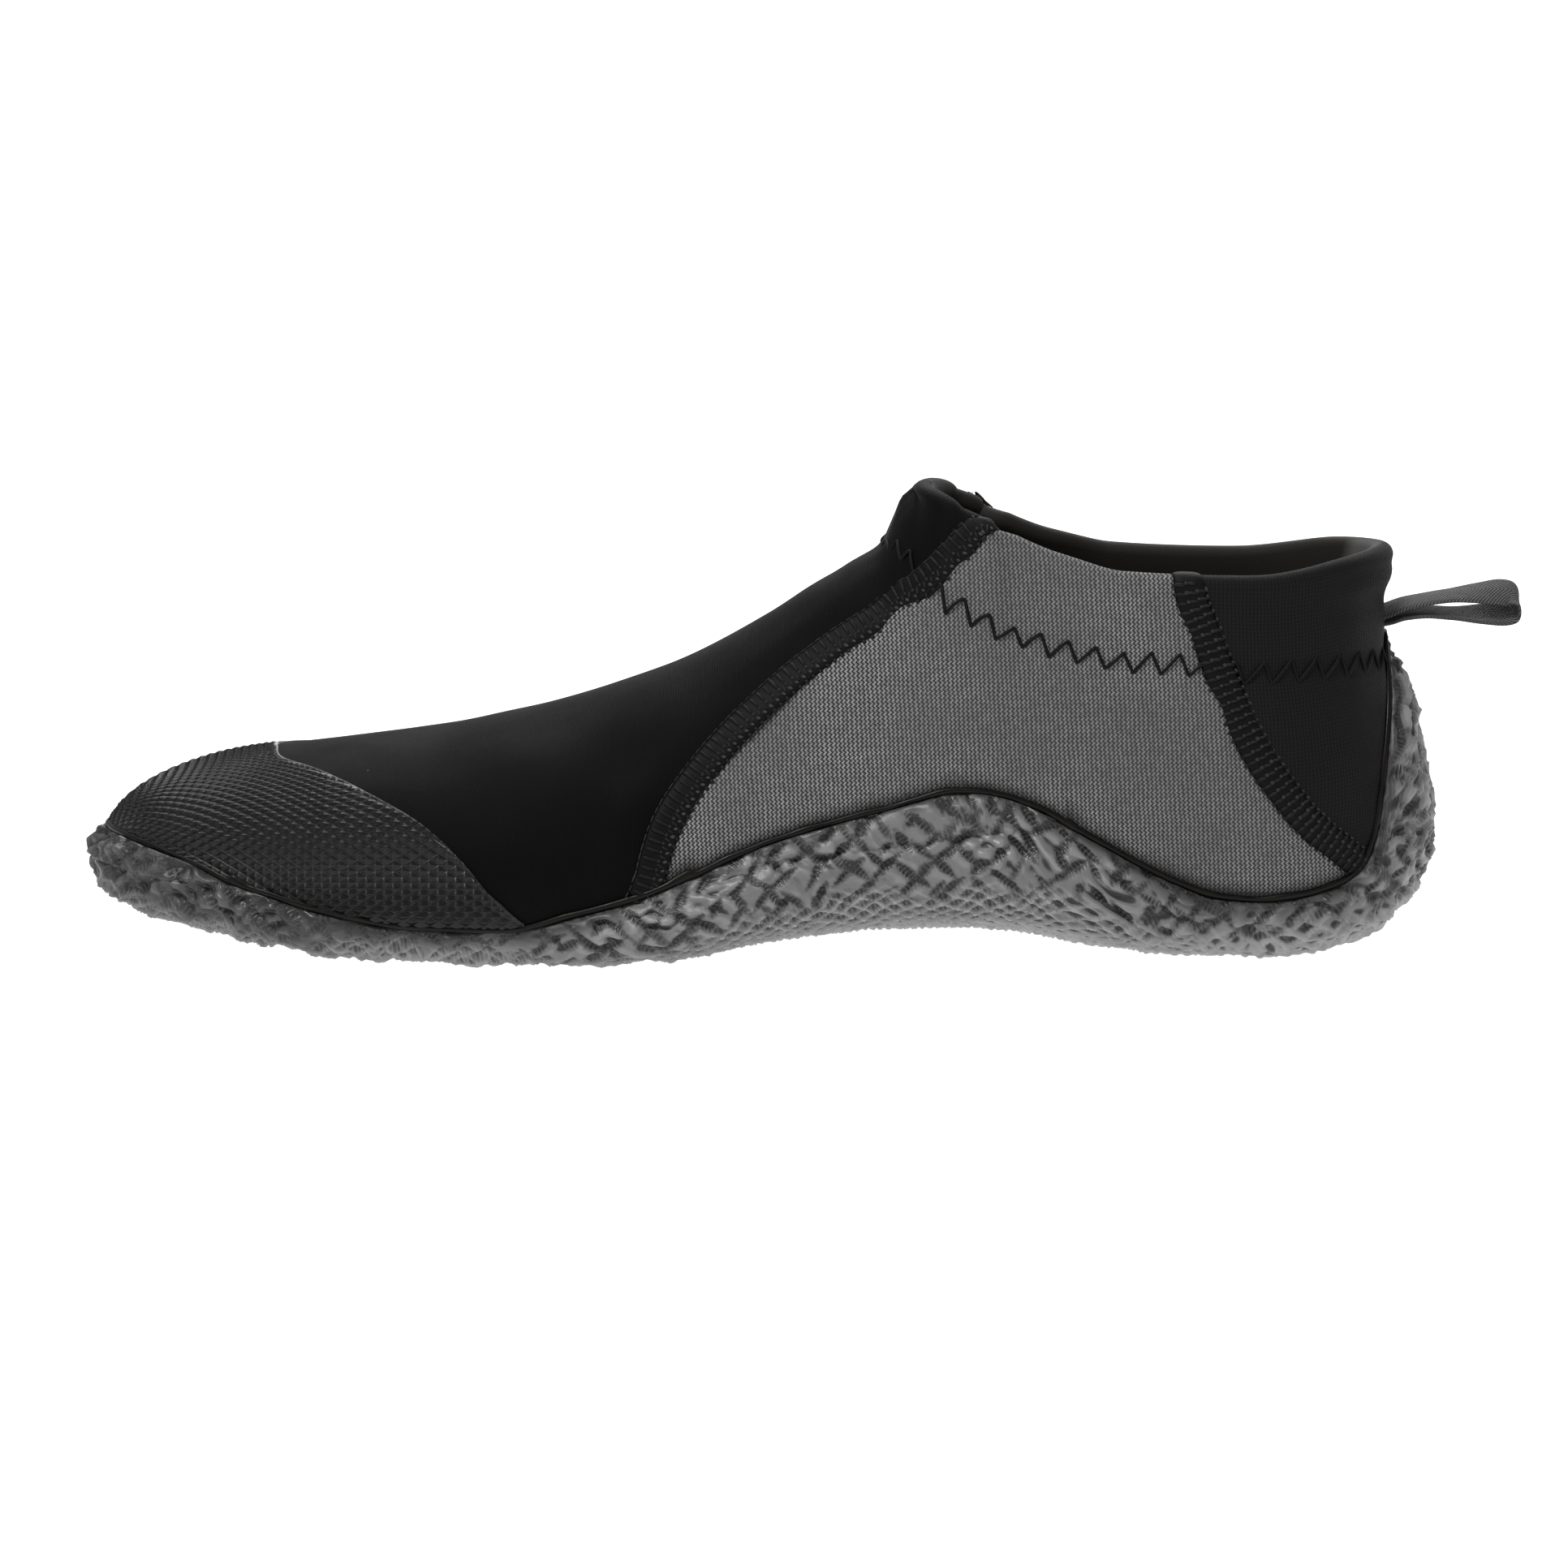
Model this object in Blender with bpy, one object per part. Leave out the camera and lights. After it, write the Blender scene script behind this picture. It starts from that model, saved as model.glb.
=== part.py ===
"""Low wetsuit bootie for a right foot: a neoprene sock on a moulded rubber sole.

Millimetres here, metres in the meshes. The origin is the floor point under the ball of the foot, the toe
points to -X, the inner side of the foot is -Y and +Z is up.
"""
import bmesh
import bpy
import numpy as np

MM = 0.001
GAP = 0.3

# Neoprene wall, the doubled wall of the folded hem, and the length over which one passes into the other.
WALL = 2.5
HEM_WALL = 5.0
HEM_RAMP = 0.05
RIM_STEPS = 4

# The sole's wall at the tread, on the side and at the thin top lip, with the depth of that lip.
TREAD_WALL = 4.9
SIDE_WALL = 3.6
LIP_WALL = 2.4
LIP_DEPTH = 2.2
RIB_HEIGHT = 0.5

INSOLE_WALL = 2.5
CAP_WALL = 1.0
SEAM_WIDTH = 7.0
SEAM_HEIGHT = 0.9
OVERLAY_GAP = 0.45
SEAL_WIDTH = 1.6
SEAL_HEIGHT = 1.2
TAPE_WIDTH = 8.0
TAPE_WALL = 1.0

# One row per section, from the toe back to the heel. foot is the middle of the sole, in and out are the widest
# points on the inner and outer side, top is the ridge of the vamp and then the collar. spring lifts the sole at
# its middle, square sets how full its corner is, lean and tilt are the angles at which the wall meets the top,
# shoulder and crown set how round it is on the way.
SECTION_COLUMNS = ("name", "foot_x", "foot_y", "foot_z", "spring", "square",
                   "in_x", "in_y", "in_z", "out_x", "out_y", "out_z",
                   "top_x", "top_y", "top_z", "lean", "tilt", "shoulder", "crown", "corner_wall")
SECTIONS = (
    ("toe_tip", -74, -8, 12.0, .45, .60, -93.3, -8.0, 20, -93.3, -8.0, 20, -57.0, 0, 40.2, 6, 0, .64, .43, 3.8),
    ("toe_corner", -72, -8, 11.0, .35, .62, -88, -24.0, 19, -89, 8.0, 19, -55.0, 0, 40.4, 5, 0, .64, .43, 3.8),
    ("toe_side", -62, -6, 9.0, .15, .70, -71, -36.0, 18, -75, 23.0, 18, -47.0, 0, 41.2, 4, 0, .61, .42, 4.6),
    ("forefoot", -40, -3, 6.0, 0, .80, -41, -42.0, 17, -45, 37.5, 17, -28.0, 0, 43.2, 2, 0, .58, .42, 6.6),
    ("ball", -8, 0, 4.5, 0, .88, -8, -43.5, 17, -5, 46.0, 17, -2.0, 0, 48.2, 1, 0, .55, .40, 7.8),
    ("behind_ball", 24, 2, 4.6, 0, .86, 24, -39.8, 18, 25, 47.0, 18, 25.0, 0, 57.0, 0, 0, .52, .38, 7.4),
    ("waist", 47, 3, 7.0, 0, .82, 47, -35.0, 22, 47, 44.0, 19, 47.0, 0, 68.4, 0, 0, .50, .36, 6.8),
    ("instep", 63, 2, 8.4, 0, .80, 63, -32.2, 24, 63, 40.2, 20, 63.0, 0, 78.6, 0, 0, .50, .32, 6.5),
    ("neck", 70.8, 1, 9.0, 0, .80, 70.8, -31.2, 25, 70.8, 38.6, 21, 70.8, 0, 84.0, 0, 0, .50, .25, 6.5),
    ("throat", 77.2, 1, 9.0, 0, .80, 77.2, -30.6, 25.5, 77.2, 37.3, 22, 77.2, 0, 95.4, 0, 0, .50, .19, 6.5),
    ("collar_front", 86, 1, 8.9, 0, .80, 86, -29.9, 26.5, 86, 35.8, 23, 86.0, 0, 110.5, 0, 0, .50, .17, 6.8),
    ("collar_side", 100, 0, 8.4, 0, .82, 100, -29.5, 28, 100, 33.8, 25, 98.0, 14, 104.0, 70, 8, .48, .32, 7.2),
    ("ankle", 125, 0, 6.3, 0, .86, 125, -30.4, 28, 125, 31.6, 27, 120.0, 25.5, 78.4, 88, 0, .45, .36, 9.2),
    ("heel_side", 148, 0, 4.7, 0, .88, 150, -30.5, 28, 150, 30.5, 28, 148.0, 25.5, 77.2, 94, 0, .45, .36, 9.6),
    ("heel_corner", 156, 0, 4.5, .10, .74, 173, -21.5, 28, 173, 21.5, 28, 169.0, 18, 79.8, 101, 0, .45, .36, 5.6),
    ("heel_back", 158, 0, 4.5, .15, .60, 184.5, 0, 26, 184.5, 0, 26, 178.6, 0, 80.6, 109, 0, .42, .38, 4.0),
)
THROAT_ROW = 9
ANKLE_ROW = 12
FOOT_FLAT = .92

# The collar as cut, seen from the side; between throat and ankle the sections run on above it.
COLLAR_COLUMNS = ("x", "z")
COLLAR = ((70, 95.4), (77.2, 95.1), (82.5, 93.6), (89, 90.3), (96, 86.8), (107, 82.0), (120, 78.4),
          (148, 77.2))

# Lines on the surface. station is the distance round the foot from the toe tip, rise runs from 0 at the middle
# of the sole by .5 at the widest line to 1 at the top.
SOLE_EDGE_COLUMNS = ("station", "in_rise", "out_rise")
SOLE_EDGE = (
    (0, .560, .560), (16, .572, .560), (32, .548, .520), (48, .481, .450), (65, .384, .380), (85, .315, .340),
    (106, .315, .340), (120, .389, .360), (133, .447, .385), (145, .500, .410), (170, .531, .440),
    (187, .537, .450), (204, .533, .450), (220, .510, .435), (229, .468, .415), (238, .415, .390),
    (246, .368, .362), (254, .330, .335), (263, .323, .325), (272, .330, .330), (281, .352, .352),
    (286.5, .395, .395), (289.5, .450, .450), (292, .530, .530), (296, .625, .625), (301, .705, .705),
    (306, .775, .775), (310, .830, .830), (313.2, .848, .848),
)
CAP_EDGE_COLUMNS = ("station", "rise")
CAP_EDGE = ((0, 1.0), (20, .970), (37, .885), (51, .834), (74, .720), (87, .646), (97, .567), (106, .462),
            (111, .37))
HEM_COLUMNS = ("station", "rise")
HEM_EDGE = ((182.5, 1.04), (184.3, .985), (186, .926), (191, .800), (197, .708), (202, .691), (207, .701),
            (213, .724), (219, .737), (225, .767), (231.5, .812), (238, .834), (248.5, .834), (259.5, .815),
            (273, .814), (286, .803), (314, .80))
FRONT_SEAM = ((134.5, .450), (139.1, .594), (147, .680), (155.7, .736), (167.7, .781), (177.2, .795),
              (185.7, .797), (191.2, .770), (196.7, .751), (199.3, .754), (201.9, .771), (204.0, .794))
REAR_SEAM = ((252.0, .980), (254.3, .910), (257.2, .788), (260.4, .687), (264, .615), (271, .527), (280, .450),
             (287.5, .380))
STROBEL_RISE = .22
STEPS = 6

# Stations of the columns of faces, closer at the toe, at the front of the collar and round the heel strip.
COLUMN_COLUMNS = ("from_station", "pitch")
COLUMN_PITCH = ((0, 5.0), (40, 7.7), (182, 4.2), (224, 7.7), (281, 2.4), (292, 3.8), (307, 2.1))
RISE_LINES = (0, .11, .22, .28, .34, .42, .50, .60, .70, .80, .90, 1.0)
INNER_LINES = (.22, .32, .46, .60, .70, .80, .90, 1.0)

# The tape of the pull loop, seen from the inner side: out along the top, round the fold and back below.
LOOP_COLUMNS = ("x", "z", "roll")
LOOP_PATH = (
    (177.9, 69.5, 14), (181.0, 70.7, 12), (185.0, 71.6, 10), (190.0, 72.4, 11), (196.0, 73.0, 22),
    (201.0, 73.3, 34), (203.8, 72.8, 38), (204.9, 71.0, 38), (204.2, 69.1, 38), (201.5, 68.4, 34),
    (197.0, 68.2, 22), (191.0, 68.4, 11), (186.0, 68.7, 10), (181.5, 68.4, 12), (178.1, 67.5, 14),
)


def clear_scene():
    for item in list(bpy.data.objects):
        bpy.data.objects.remove(item, do_unlink=True)


def table(columns, rows):
    return {name: np.array([row[i] for row in rows], float)
            for i, name in enumerate(columns) if name != "name"}


def slopes_of(stations, values):
    """Slopes of a curve through the rows that keeps level stretches level and adds no bumps."""
    step = np.diff(stations)
    grade = np.diff(values) / step
    before = grade[:-1]
    after = grade[1:]
    weight_before = 2 * step[1:] + step[:-1]
    weight_after = step[1:] + 2 * step[:-1]
    inner = np.zeros(len(values) - 2)
    same = before * after > 0
    inner[same] = (weight_before + weight_after)[same] / (
        weight_before[same] / before[same] + weight_after[same] / after[same])
    return np.concatenate([[grade[0]], inner, [grade[-1]]])


def curve_through(stations, values, at):
    slope = slopes_of(stations, values)
    i = np.clip(np.searchsorted(stations, at, side="right") - 1, 0, len(stations) - 2)
    step = stations[i + 1] - stations[i]
    t = np.clip((at - stations[i]) / step, 0, 1)
    left = values[i] * (1 + 2 * t) * (1 - t) ** 2 + slope[i] * step * t * (1 - t) ** 2
    right = values[i + 1] * t * t * (3 - 2 * t) + slope[i + 1] * step * t * t * (t - 1)
    return left + right


def stations_of(rows):
    """Distance round the foot at each section, the mean of its two sides."""
    inner = np.hypot(np.diff(rows["in_x"]), np.diff(rows["in_y"]))
    outer = np.hypot(np.diff(rows["out_x"]), np.diff(rows["out_y"]))
    return np.concatenate([[0], np.cumsum((inner + outer) / 2)])


ROWS = table(SECTION_COLUMNS, SECTIONS)
STATIONS = stations_of(ROWS)
TOTAL = STATIONS[-1]
THROAT = STATIONS[THROAT_ROW]
ANKLE = STATIONS[ANKLE_ROW]


def ring_of(inner, outer):
    """A column of the table right round the foot: inner side, toe, outer side, and a row past each end."""
    return np.concatenate([[outer[-2]], inner[:0:-1], outer, [inner[-2]]])


RING = ring_of(-STATIONS, STATIONS)
RING[0] = -2 * TOTAL + STATIONS[-2]
RING[-1] = 2 * TOTAL - STATIONS[-2]


def round_foot(name, s):
    return curve_through(RING, ring_of(ROWS[name], ROWS[name]), s)


def side_round_foot(axis, s):
    return curve_through(RING, ring_of(ROWS["in_" + axis], ROWS["out_" + axis]), s)


def top_point(s):
    y = curve_through(RING, ring_of(-ROWS["top_y"], ROWS["top_y"]), s)
    return np.stack([round_foot("top_x", s), y, round_foot("top_z", s)], -1)


def bezier(a, b, c, d, t):
    t = t[..., None]
    return a * (1 - t) ** 3 + 3 * b * t * (1 - t) ** 2 + 3 * c * t * t * (1 - t) + d * t ** 3


def form(s, v):
    """The outer face of the sock at station s (inner side negative) and rise v."""
    s, v = np.broadcast_arrays(np.asarray(s, float), np.asarray(v, float))
    up = np.array([0, 0, 1.0])
    level = np.array([1.0, 1.0, 0])
    foot = np.stack([round_foot("foot_x", s), round_foot("foot_y", s), round_foot("foot_z", s)], -1)
    side = np.stack([side_round_foot("x", s), side_round_foot("y", s), side_round_foot("z", s)], -1)
    top = top_point(s)
    rise = (side - foot) * up
    sole_out = foot + FOOT_FLAT * (side - foot) * level + round_foot("spring", s)[..., None] * rise
    sole_up = side - round_foot("square", s)[..., None] * rise
    across = (top - side) * level
    across = across / np.maximum(np.linalg.norm(across, axis=-1), 1e-6)[..., None]
    lean = np.radians(round_foot("lean", s))[..., None]
    tilt = np.radians(round_foot("tilt", s))
    climb = np.stack([np.sin(tilt), np.zeros_like(s), np.cos(tilt)], -1)
    heading = across * np.cos(lean) + climb * np.sin(lean)
    span = np.linalg.norm(top - side, axis=-1)[..., None]
    wall_up = side + round_foot("shoulder", s)[..., None] * (top - side) * up
    wall_in = top - round_foot("crown", s)[..., None] * span * heading
    below = bezier(foot, sole_out, sole_up, side, np.clip(v * 2, 0, 1))
    above = bezier(side, wall_up, wall_in, top, np.clip(v * 2 - 1, 0, 1))
    return np.where((v < .5)[..., None], below, above)


def unit(vectors):
    return vectors / np.maximum(np.linalg.norm(vectors, axis=-1), 1e-12)[..., None]


def slopes_on_form(s, v):
    """Change of the point per station and per rise."""
    reach = 0.05
    low = np.clip(v - 0.0005, 0, 1)
    high = np.clip(v + 0.0005, 0, 1)
    along = (form(s + reach, v) - form(s - reach, v)) / (2 * reach)
    upward = (form(s, high) - form(s, low)) / (high - low)[..., None]
    return along, upward


def side_normal(s, v):
    along, upward = slopes_on_form(s, v)
    return unit(np.cross(upward, along))


def normal(s, v):
    """Outward direction, the same for both sides where they meet along the sole and along the ridge."""
    s, v = np.broadcast_arrays(np.asarray(s, float), np.asarray(v, float))
    own = side_normal(s, v)
    near = np.clip(v, .03, .97)
    shared = unit(side_normal(s, near) + side_normal(-s, near))
    meets = (v < 1e-6) | ((v > 1 - 1e-6) & (np.abs(s) < THROAT + 1e-6))
    return np.where(meets[..., None], shared, own)


def collar_rise(s):
    """Rise at which the wall ends: the ridge, and the cut of the collar from the throat back."""
    cut = table(COLLAR_COLUMNS, COLLAR)
    low = np.full_like(s, .6)
    high = np.ones_like(s)
    for _ in range(40):
        middle = (low + high) / 2
        point = form(s, middle)
        below = point[..., 2] < curve_through(cut["x"], cut["z"], point[..., 0])
        low = np.where(below, middle, low)
        high = np.where(below, high, middle)
    on_cut = (np.abs(s) > THROAT + 1e-6) & (np.abs(s) < ANKLE - 1e-6)
    return np.where(on_cut, low, 1.0)


def skin(s, v, out):
    return form(s, v) + normal(s, v) * np.asarray(out, float)[..., None]


def rise_per_mm(s, v):
    return 1 / np.linalg.norm(slopes_on_form(s, v)[1], axis=-1)


def step_on_form(s, v, direction, distance):
    """Station and rise of the place that lies a distance away along a direction in the surface."""
    for _ in range(STEPS):
        along, upward = slopes_on_form(s, v)
        aa = np.sum(along * along, -1)
        au = np.sum(along * upward, -1)
        uu = np.sum(upward * upward, -1)
        da = np.sum(direction * along, -1) * distance / STEPS
        du = np.sum(direction * upward, -1) * distance / STEPS
        scale = aa * uu - au * au
        s = s + (da * uu - du * au) / scale
        v = np.clip(v + (du * aa - da * au) / scale, 0, 1)
    return s, v


def columns_round_foot():
    ends = [row[0] for row in COLUMN_PITCH[1:]] + [TOTAL]
    half = []
    for (start, pitch), end in zip(COLUMN_PITCH, ends):
        half.append(np.linspace(start, end, max(1, round((end - start) / pitch)), endpoint=False))
    half = np.concatenate(half)
    half[np.argmin(np.abs(half - THROAT))] = THROAT
    return np.concatenate([[-TOTAL], -half[:0:-1], half])


COLUMNS = columns_round_foot()


def edge_rise(s):
    edge = table(SOLE_EDGE_COLUMNS, SOLE_EDGE)
    inner = curve_through(edge["station"], edge["in_rise"], np.abs(s))
    outer = curve_through(edge["station"], edge["out_rise"], np.abs(s))
    return np.where(s < 0, inner, outer)


def cap_rise(s):
    edge = table(CAP_EDGE_COLUMNS, CAP_EDGE)
    return curve_through(edge["station"], edge["rise"], np.abs(s))


def wall_at(s, v):
    """Thickness of the sock: one layer, and two where the hem is folded in."""
    hem = table(HEM_COLUMNS, HEM_EDGE)
    line = curve_through(hem["station"], hem["rise"], np.abs(s))
    share = np.clip((v - line) / HEM_RAMP + 1, 0, 1)
    return WALL + (HEM_WALL - WALL) * share * share * (3 - 2 * share)


def seal_path(distance):
    """Station and rise of a line that keeps a distance above the sole's top edge."""
    s = COLUMNS
    v = edge_rise(s)
    points = form(s, v)
    ahead = unit(np.roll(points, -1, 0) - np.roll(points, 1, 0))
    return step_on_form(s, v, unit(np.cross(ahead, normal(s, v))), distance)


def faces_of(first, shape, closed):
    """Quads over a grid of points, numbered from first."""
    columns, rows = shape
    faces = []
    for i in range(columns if closed else columns - 1):
        for j in range(rows - 1):
            a = first + i * rows + j
            b = first + ((i + 1) % columns) * rows + j
            faces.append((a, b, b + 1, a + 1))
    return faces


def solid_from(name, sheets, color, roughness, collection):
    """One closed body from sheets of points that share their edges."""
    points = []
    faces = []
    for grid, closed in sheets:
        faces += faces_of(len(points), grid.shape[:2], closed)
        points += [tuple(p) for p in grid.reshape(-1, 3) * MM]
    mesh = bpy.data.meshes.new(name)
    mesh.from_pydata(points, [], faces)
    work = bmesh.new()
    work.from_mesh(mesh)
    bmesh.ops.remove_doubles(work, verts=work.verts, dist=0.00002)
    bmesh.ops.dissolve_degenerate(work, edges=work.edges, dist=0.00001)
    bmesh.ops.triangulate(work, faces=work.faces)
    bmesh.ops.recalc_face_normals(work, faces=work.faces)
    work.to_mesh(mesh)
    work.free()
    item = bpy.data.objects.new(name, mesh)
    collection.objects.link(item)
    material = bpy.data.materials.new(name + "_material")
    material.use_nodes = True
    shader = material.node_tree.nodes["Principled BSDF"]
    shader.inputs["Base Color"].default_value = (*color, 1)
    shader.inputs["Roughness"].default_value = roughness
    mesh.materials.append(material)
    return item


def grid_at(stations, rises, out):
    """Points at each station by each rise; rises may differ from column to column."""
    rises = np.broadcast_to(rises, (len(stations), np.shape(rises)[-1]))
    s = np.repeat(np.asarray(stations)[:, None], rises.shape[1], 1)
    return skin(s, rises, np.broadcast_to(out(s, rises), s.shape))


def lines_to_collar(lines):
    """Rise lines of the wall, drawn together above the ankle so that the last one is the collar."""
    lines = np.array([v for v in lines if v >= STROBEL_RISE])[None, :]
    end = collar_rise(COLUMNS)[:, None]
    return np.where(lines > .6, .6 + (lines - .6) / .4 * (end - .6), lines)


def build_upper(collection):
    outer = grid_at(COLUMNS, lines_to_collar(RISE_LINES), lambda s, v: 0 * s)
    inner = grid_at(COLUMNS, lines_to_collar(INNER_LINES), lambda s, v: -wall_at(s, v))
    foot = np.stack([outer[:, 0], inner[:, 0]], 1)
    on_collar = np.abs(COLUMNS) > THROAT - 1e-6
    s = COLUMNS[on_collar]
    s = s[np.argsort(np.where(s < 0, s + THROAT, s - THROAT))]
    keep = np.concatenate([[True], np.abs(np.diff(np.abs(s))) > 1e-6])
    s = s[keep]
    edge = form(s, collar_rise(s))
    ahead = unit(np.roll(edge, -1, 0) - np.roll(edge, 1, 0))
    out = normal(s, collar_rise(s))
    up = unit(np.cross(ahead, out))
    middle = edge - out * HEM_WALL / 2
    turns = np.linspace(0, np.pi, RIM_STEPS + 1)
    rim = np.stack([middle + HEM_WALL / 2 * (out * np.cos(a) + up * np.sin(a)) for a in turns], 1)
    sheets = [(outer, True), (inner, True), (foot, True), (rim, True)]
    return solid_from("upper", sheets, (0.03, 0.03, 0.032), 0.6, collection)


def build_insole(collection):
    edge = STROBEL_RISE - GAP * rise_per_mm(COLUMNS, np.full_like(COLUMNS, STROBEL_RISE))
    lines = np.stack([0 * edge, edge / 2, edge], 1)
    lower = grid_at(COLUMNS, lines, lambda s, v: 0 * s)
    upper = grid_at(COLUMNS, lines, lambda s, v: 0 * s - INSOLE_WALL)
    rim = np.stack([lower[:, -1], upper[:, -1]], 1)
    sheets = [(lower, True), (upper, True), (rim, True)]
    return solid_from("insole", sheets, (0.05, 0.05, 0.05), 0.8, collection)


def lip_rise(s):
    edge = edge_rise(s)
    return edge - LIP_DEPTH * rise_per_mm(s, edge)


def sole_lines():
    """Rise lines of the sole: the shared ones below its lip, then the lip and the edge itself."""
    edge = edge_rise(COLUMNS)
    lip = lip_rise(COLUMNS)
    lines = [np.where(v < lip - .015, v, lip) for v in RISE_LINES if v < edge.max()]
    return np.stack(lines + [edge], 1)


def sole_wall(s, v):
    """Thickness of the sole: tread, full corner, side, with ribs crossing on the side and a thinner lip."""
    low = np.interp(v, (0, .22, .34, .42, .5), (0, .35, 1, .6, 0))
    plain = np.interp(v, (0, .3, .5), (TREAD_WALL, TREAD_WALL, SIDE_WALL))
    wall = plain * (1 - low) + round_foot("corner_wall", s) * low
    column = np.arange(s.shape[0])[:, None]
    row = np.arange(s.shape[1])[None, :]
    ribs = RIB_HEIGHT * np.where((column + row) % 2 == 0, 1, -1) * np.clip((v - .30) / .06, 0, 1)
    ribs = np.where(v < lip_rise(s) - 1e-6, ribs, 0)
    return np.where(v > edge_rise(s) - 1e-6, LIP_WALL, wall + ribs)


def build_outsole(collection):
    lines = sole_lines()
    outer = grid_at(COLUMNS, lines, sole_wall)
    outer[..., 2] = np.maximum(outer[..., 2], 0)
    inner = grid_at(COLUMNS, lines, lambda s, v: 0 * s + GAP)
    edge = np.stack([outer[:, -1], inner[:, -1]], 1)
    sheets = [(outer, True), (inner, True), (edge, True)]
    return solid_from("outsole", sheets, (0.16, 0.16, 0.165), 0.7, collection)


def build_seal(collection):
    low = OVERLAY_GAP
    crest = GAP + SEAL_WIDTH * .6
    profile = ((GAP, low), (GAP, SEAL_HEIGHT), (crest, SEAL_HEIGHT), (GAP + SEAL_WIDTH, low), (GAP, low))
    rings = []
    for distance, out in profile:
        s, v = seal_path(distance)
        rings.append(skin(s, v, np.full_like(s, out)))
    return solid_from("sole_edge_seal", [(np.stack(rings, 1), True)], (0.012, 0.011, 0.010), 0.35, collection)


def band_between(stations, low, high, rows, base, wall):
    """A closed band on the sock between two rise lines, with its two ends."""
    shares = np.linspace(0, 1, rows + 1)
    lines = low[:, None] + (high - low)[:, None] * shares
    inner = grid_at(stations, lines, lambda s, v: 0 * s + base)
    outer = grid_at(stations, lines, lambda s, v: 0 * s + base + wall)
    lower = np.stack([inner[:, 0], outer[:, 0]], 1)
    upper = np.stack([inner[:, -1], outer[:, -1]], 1)
    first = np.stack([inner[0], outer[0]], 0)
    last = np.stack([inner[-1], outer[-1]], 0)
    return [(grid, False) for grid in (inner, outer, lower, upper, first, last)]


def build_cap(collection):
    path_s, path_v = seal_path(2 * GAP + SEAL_WIDTH)
    order = np.argsort(path_s)
    low_all = np.interp(COLUMNS, path_s[order], path_v[order])
    low_all = low_all + GAP * rise_per_mm(COLUMNS, low_all)
    high_all = cap_rise(COLUMNS)
    fits = (np.abs(COLUMNS) < CAP_EDGE[-1][0]) & (high_all - low_all > .03)
    sheets = band_between(COLUMNS[fits], low_all[fits], high_all[fits], 5, GAP, CAP_WALL)
    return solid_from("toe_cap", sheets, (0.025, 0.025, 0.026), 0.55, collection)


def path_on_form(rows, side, count):
    """Stations and rises evenly along a line given by a few rows."""
    rows = np.array(rows, float)
    knots = np.arange(len(rows), dtype=float)
    fine = np.linspace(0, knots[-1], 400)
    s = side * curve_through(knots, rows[:, 0], fine)
    v = curve_through(knots, rows[:, 1], fine)
    length = np.concatenate([[0], np.cumsum(np.linalg.norm(np.diff(form(s, v), axis=0), axis=1))])
    at = np.linspace(0, length[-1], count)
    return np.interp(at, length, s), np.interp(at, length, v)


def seam_start(rows, side, clear):
    """Drops the part of a seam that would lie under the sole and its sealed edge."""
    s, v = path_on_form(rows, side, 400)
    free = v > edge_rise(s) + clear * rise_per_mm(s, v)
    return s[free], v[free]


def build_seam(name, rows, side, collection):
    s, v = seam_start(rows, side, 2 * GAP + SEAL_WIDTH + SEAM_WIDTH * .6)
    pick = np.linspace(0, len(s) - 1, 20).round().astype(int)
    s = s[pick]
    v = v[pick]
    points = form(s, v)
    ahead = unit(np.gradient(points, axis=0))
    sideways = unit(np.cross(normal(s, v), ahead))
    half = SEAM_WIDTH / 2
    low = OVERLAY_GAP
    top = OVERLAY_GAP + SEAM_HEIGHT
    profile = ((-half, low), (-half * .8, top), (0, top), (half * .8, top), (half, low), (0, low), (-half, low))
    strands = []
    for distance, out in profile:
        near_s, near_v = step_on_form(s, v, sideways, distance)
        strands.append(skin(near_s, np.clip(near_v, 0, .995), np.full_like(s, out)))
    tube = np.stack(strands, 1)
    ends = []
    for ring in (tube[0], tube[-1]):
        ends.append(np.stack([ring[[0, 1, 2, 3, 4]], ring[[0, 0, 5, 4, 4]]], 0))
    sheets = [(tube, False)] + [(grid, False) for grid in ends]
    return solid_from(name, sheets, (0.015, 0.015, 0.016), 0.7, collection)


def build_loop(collection):
    rows = table(LOOP_COLUMNS, LOOP_PATH)
    knots = np.arange(len(LOOP_PATH), dtype=float)
    fine = np.linspace(0, knots[-1], 43)
    x = curve_through(knots, rows["x"], fine)
    z = curve_through(knots, rows["z"], fine)
    roll = np.radians(curve_through(knots, rows["roll"], fine))
    line = np.stack([x, 0 * x, z], 1)
    ahead = unit(np.gradient(line, axis=0))
    level = np.stack([0 * x, np.cos(roll), np.sin(roll)], 1)
    level = unit(level - ahead * np.sum(level * ahead, 1)[:, None])
    face = np.cross(ahead, level)
    corners = ((-1, -1), (1, -1), (1, 1), (-1, 1), (-1, -1))
    rings = [line + level * TAPE_WIDTH / 2 * a + face * TAPE_WALL / 2 * b for a, b in corners]
    tube = np.stack(rings, 1)
    ends = [tube[k][[[0, 1], [3, 2]]] for k in (0, -1)]
    sheets = [(tube, False)] + [(grid, False) for grid in ends]
    return solid_from("pull_loop", sheets, (0.07, 0.07, 0.072), 0.85, collection)


clear_scene()
bootie = bpy.data.collections.new("wetsuit_bootie")
bpy.context.scene.collection.children.link(bootie)
build_upper(bootie)
build_insole(bootie)
build_outsole(bootie)
build_seal(bootie)
build_cap(bootie)
for side_name, side_sign in (("medial", -1), ("lateral", 1)):
    build_seam("seam_front_" + side_name, FRONT_SEAM, side_sign, bootie)
    build_seam("seam_rear_" + side_name, REAR_SEAM, side_sign, bootie)
build_loop(bootie)
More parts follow.
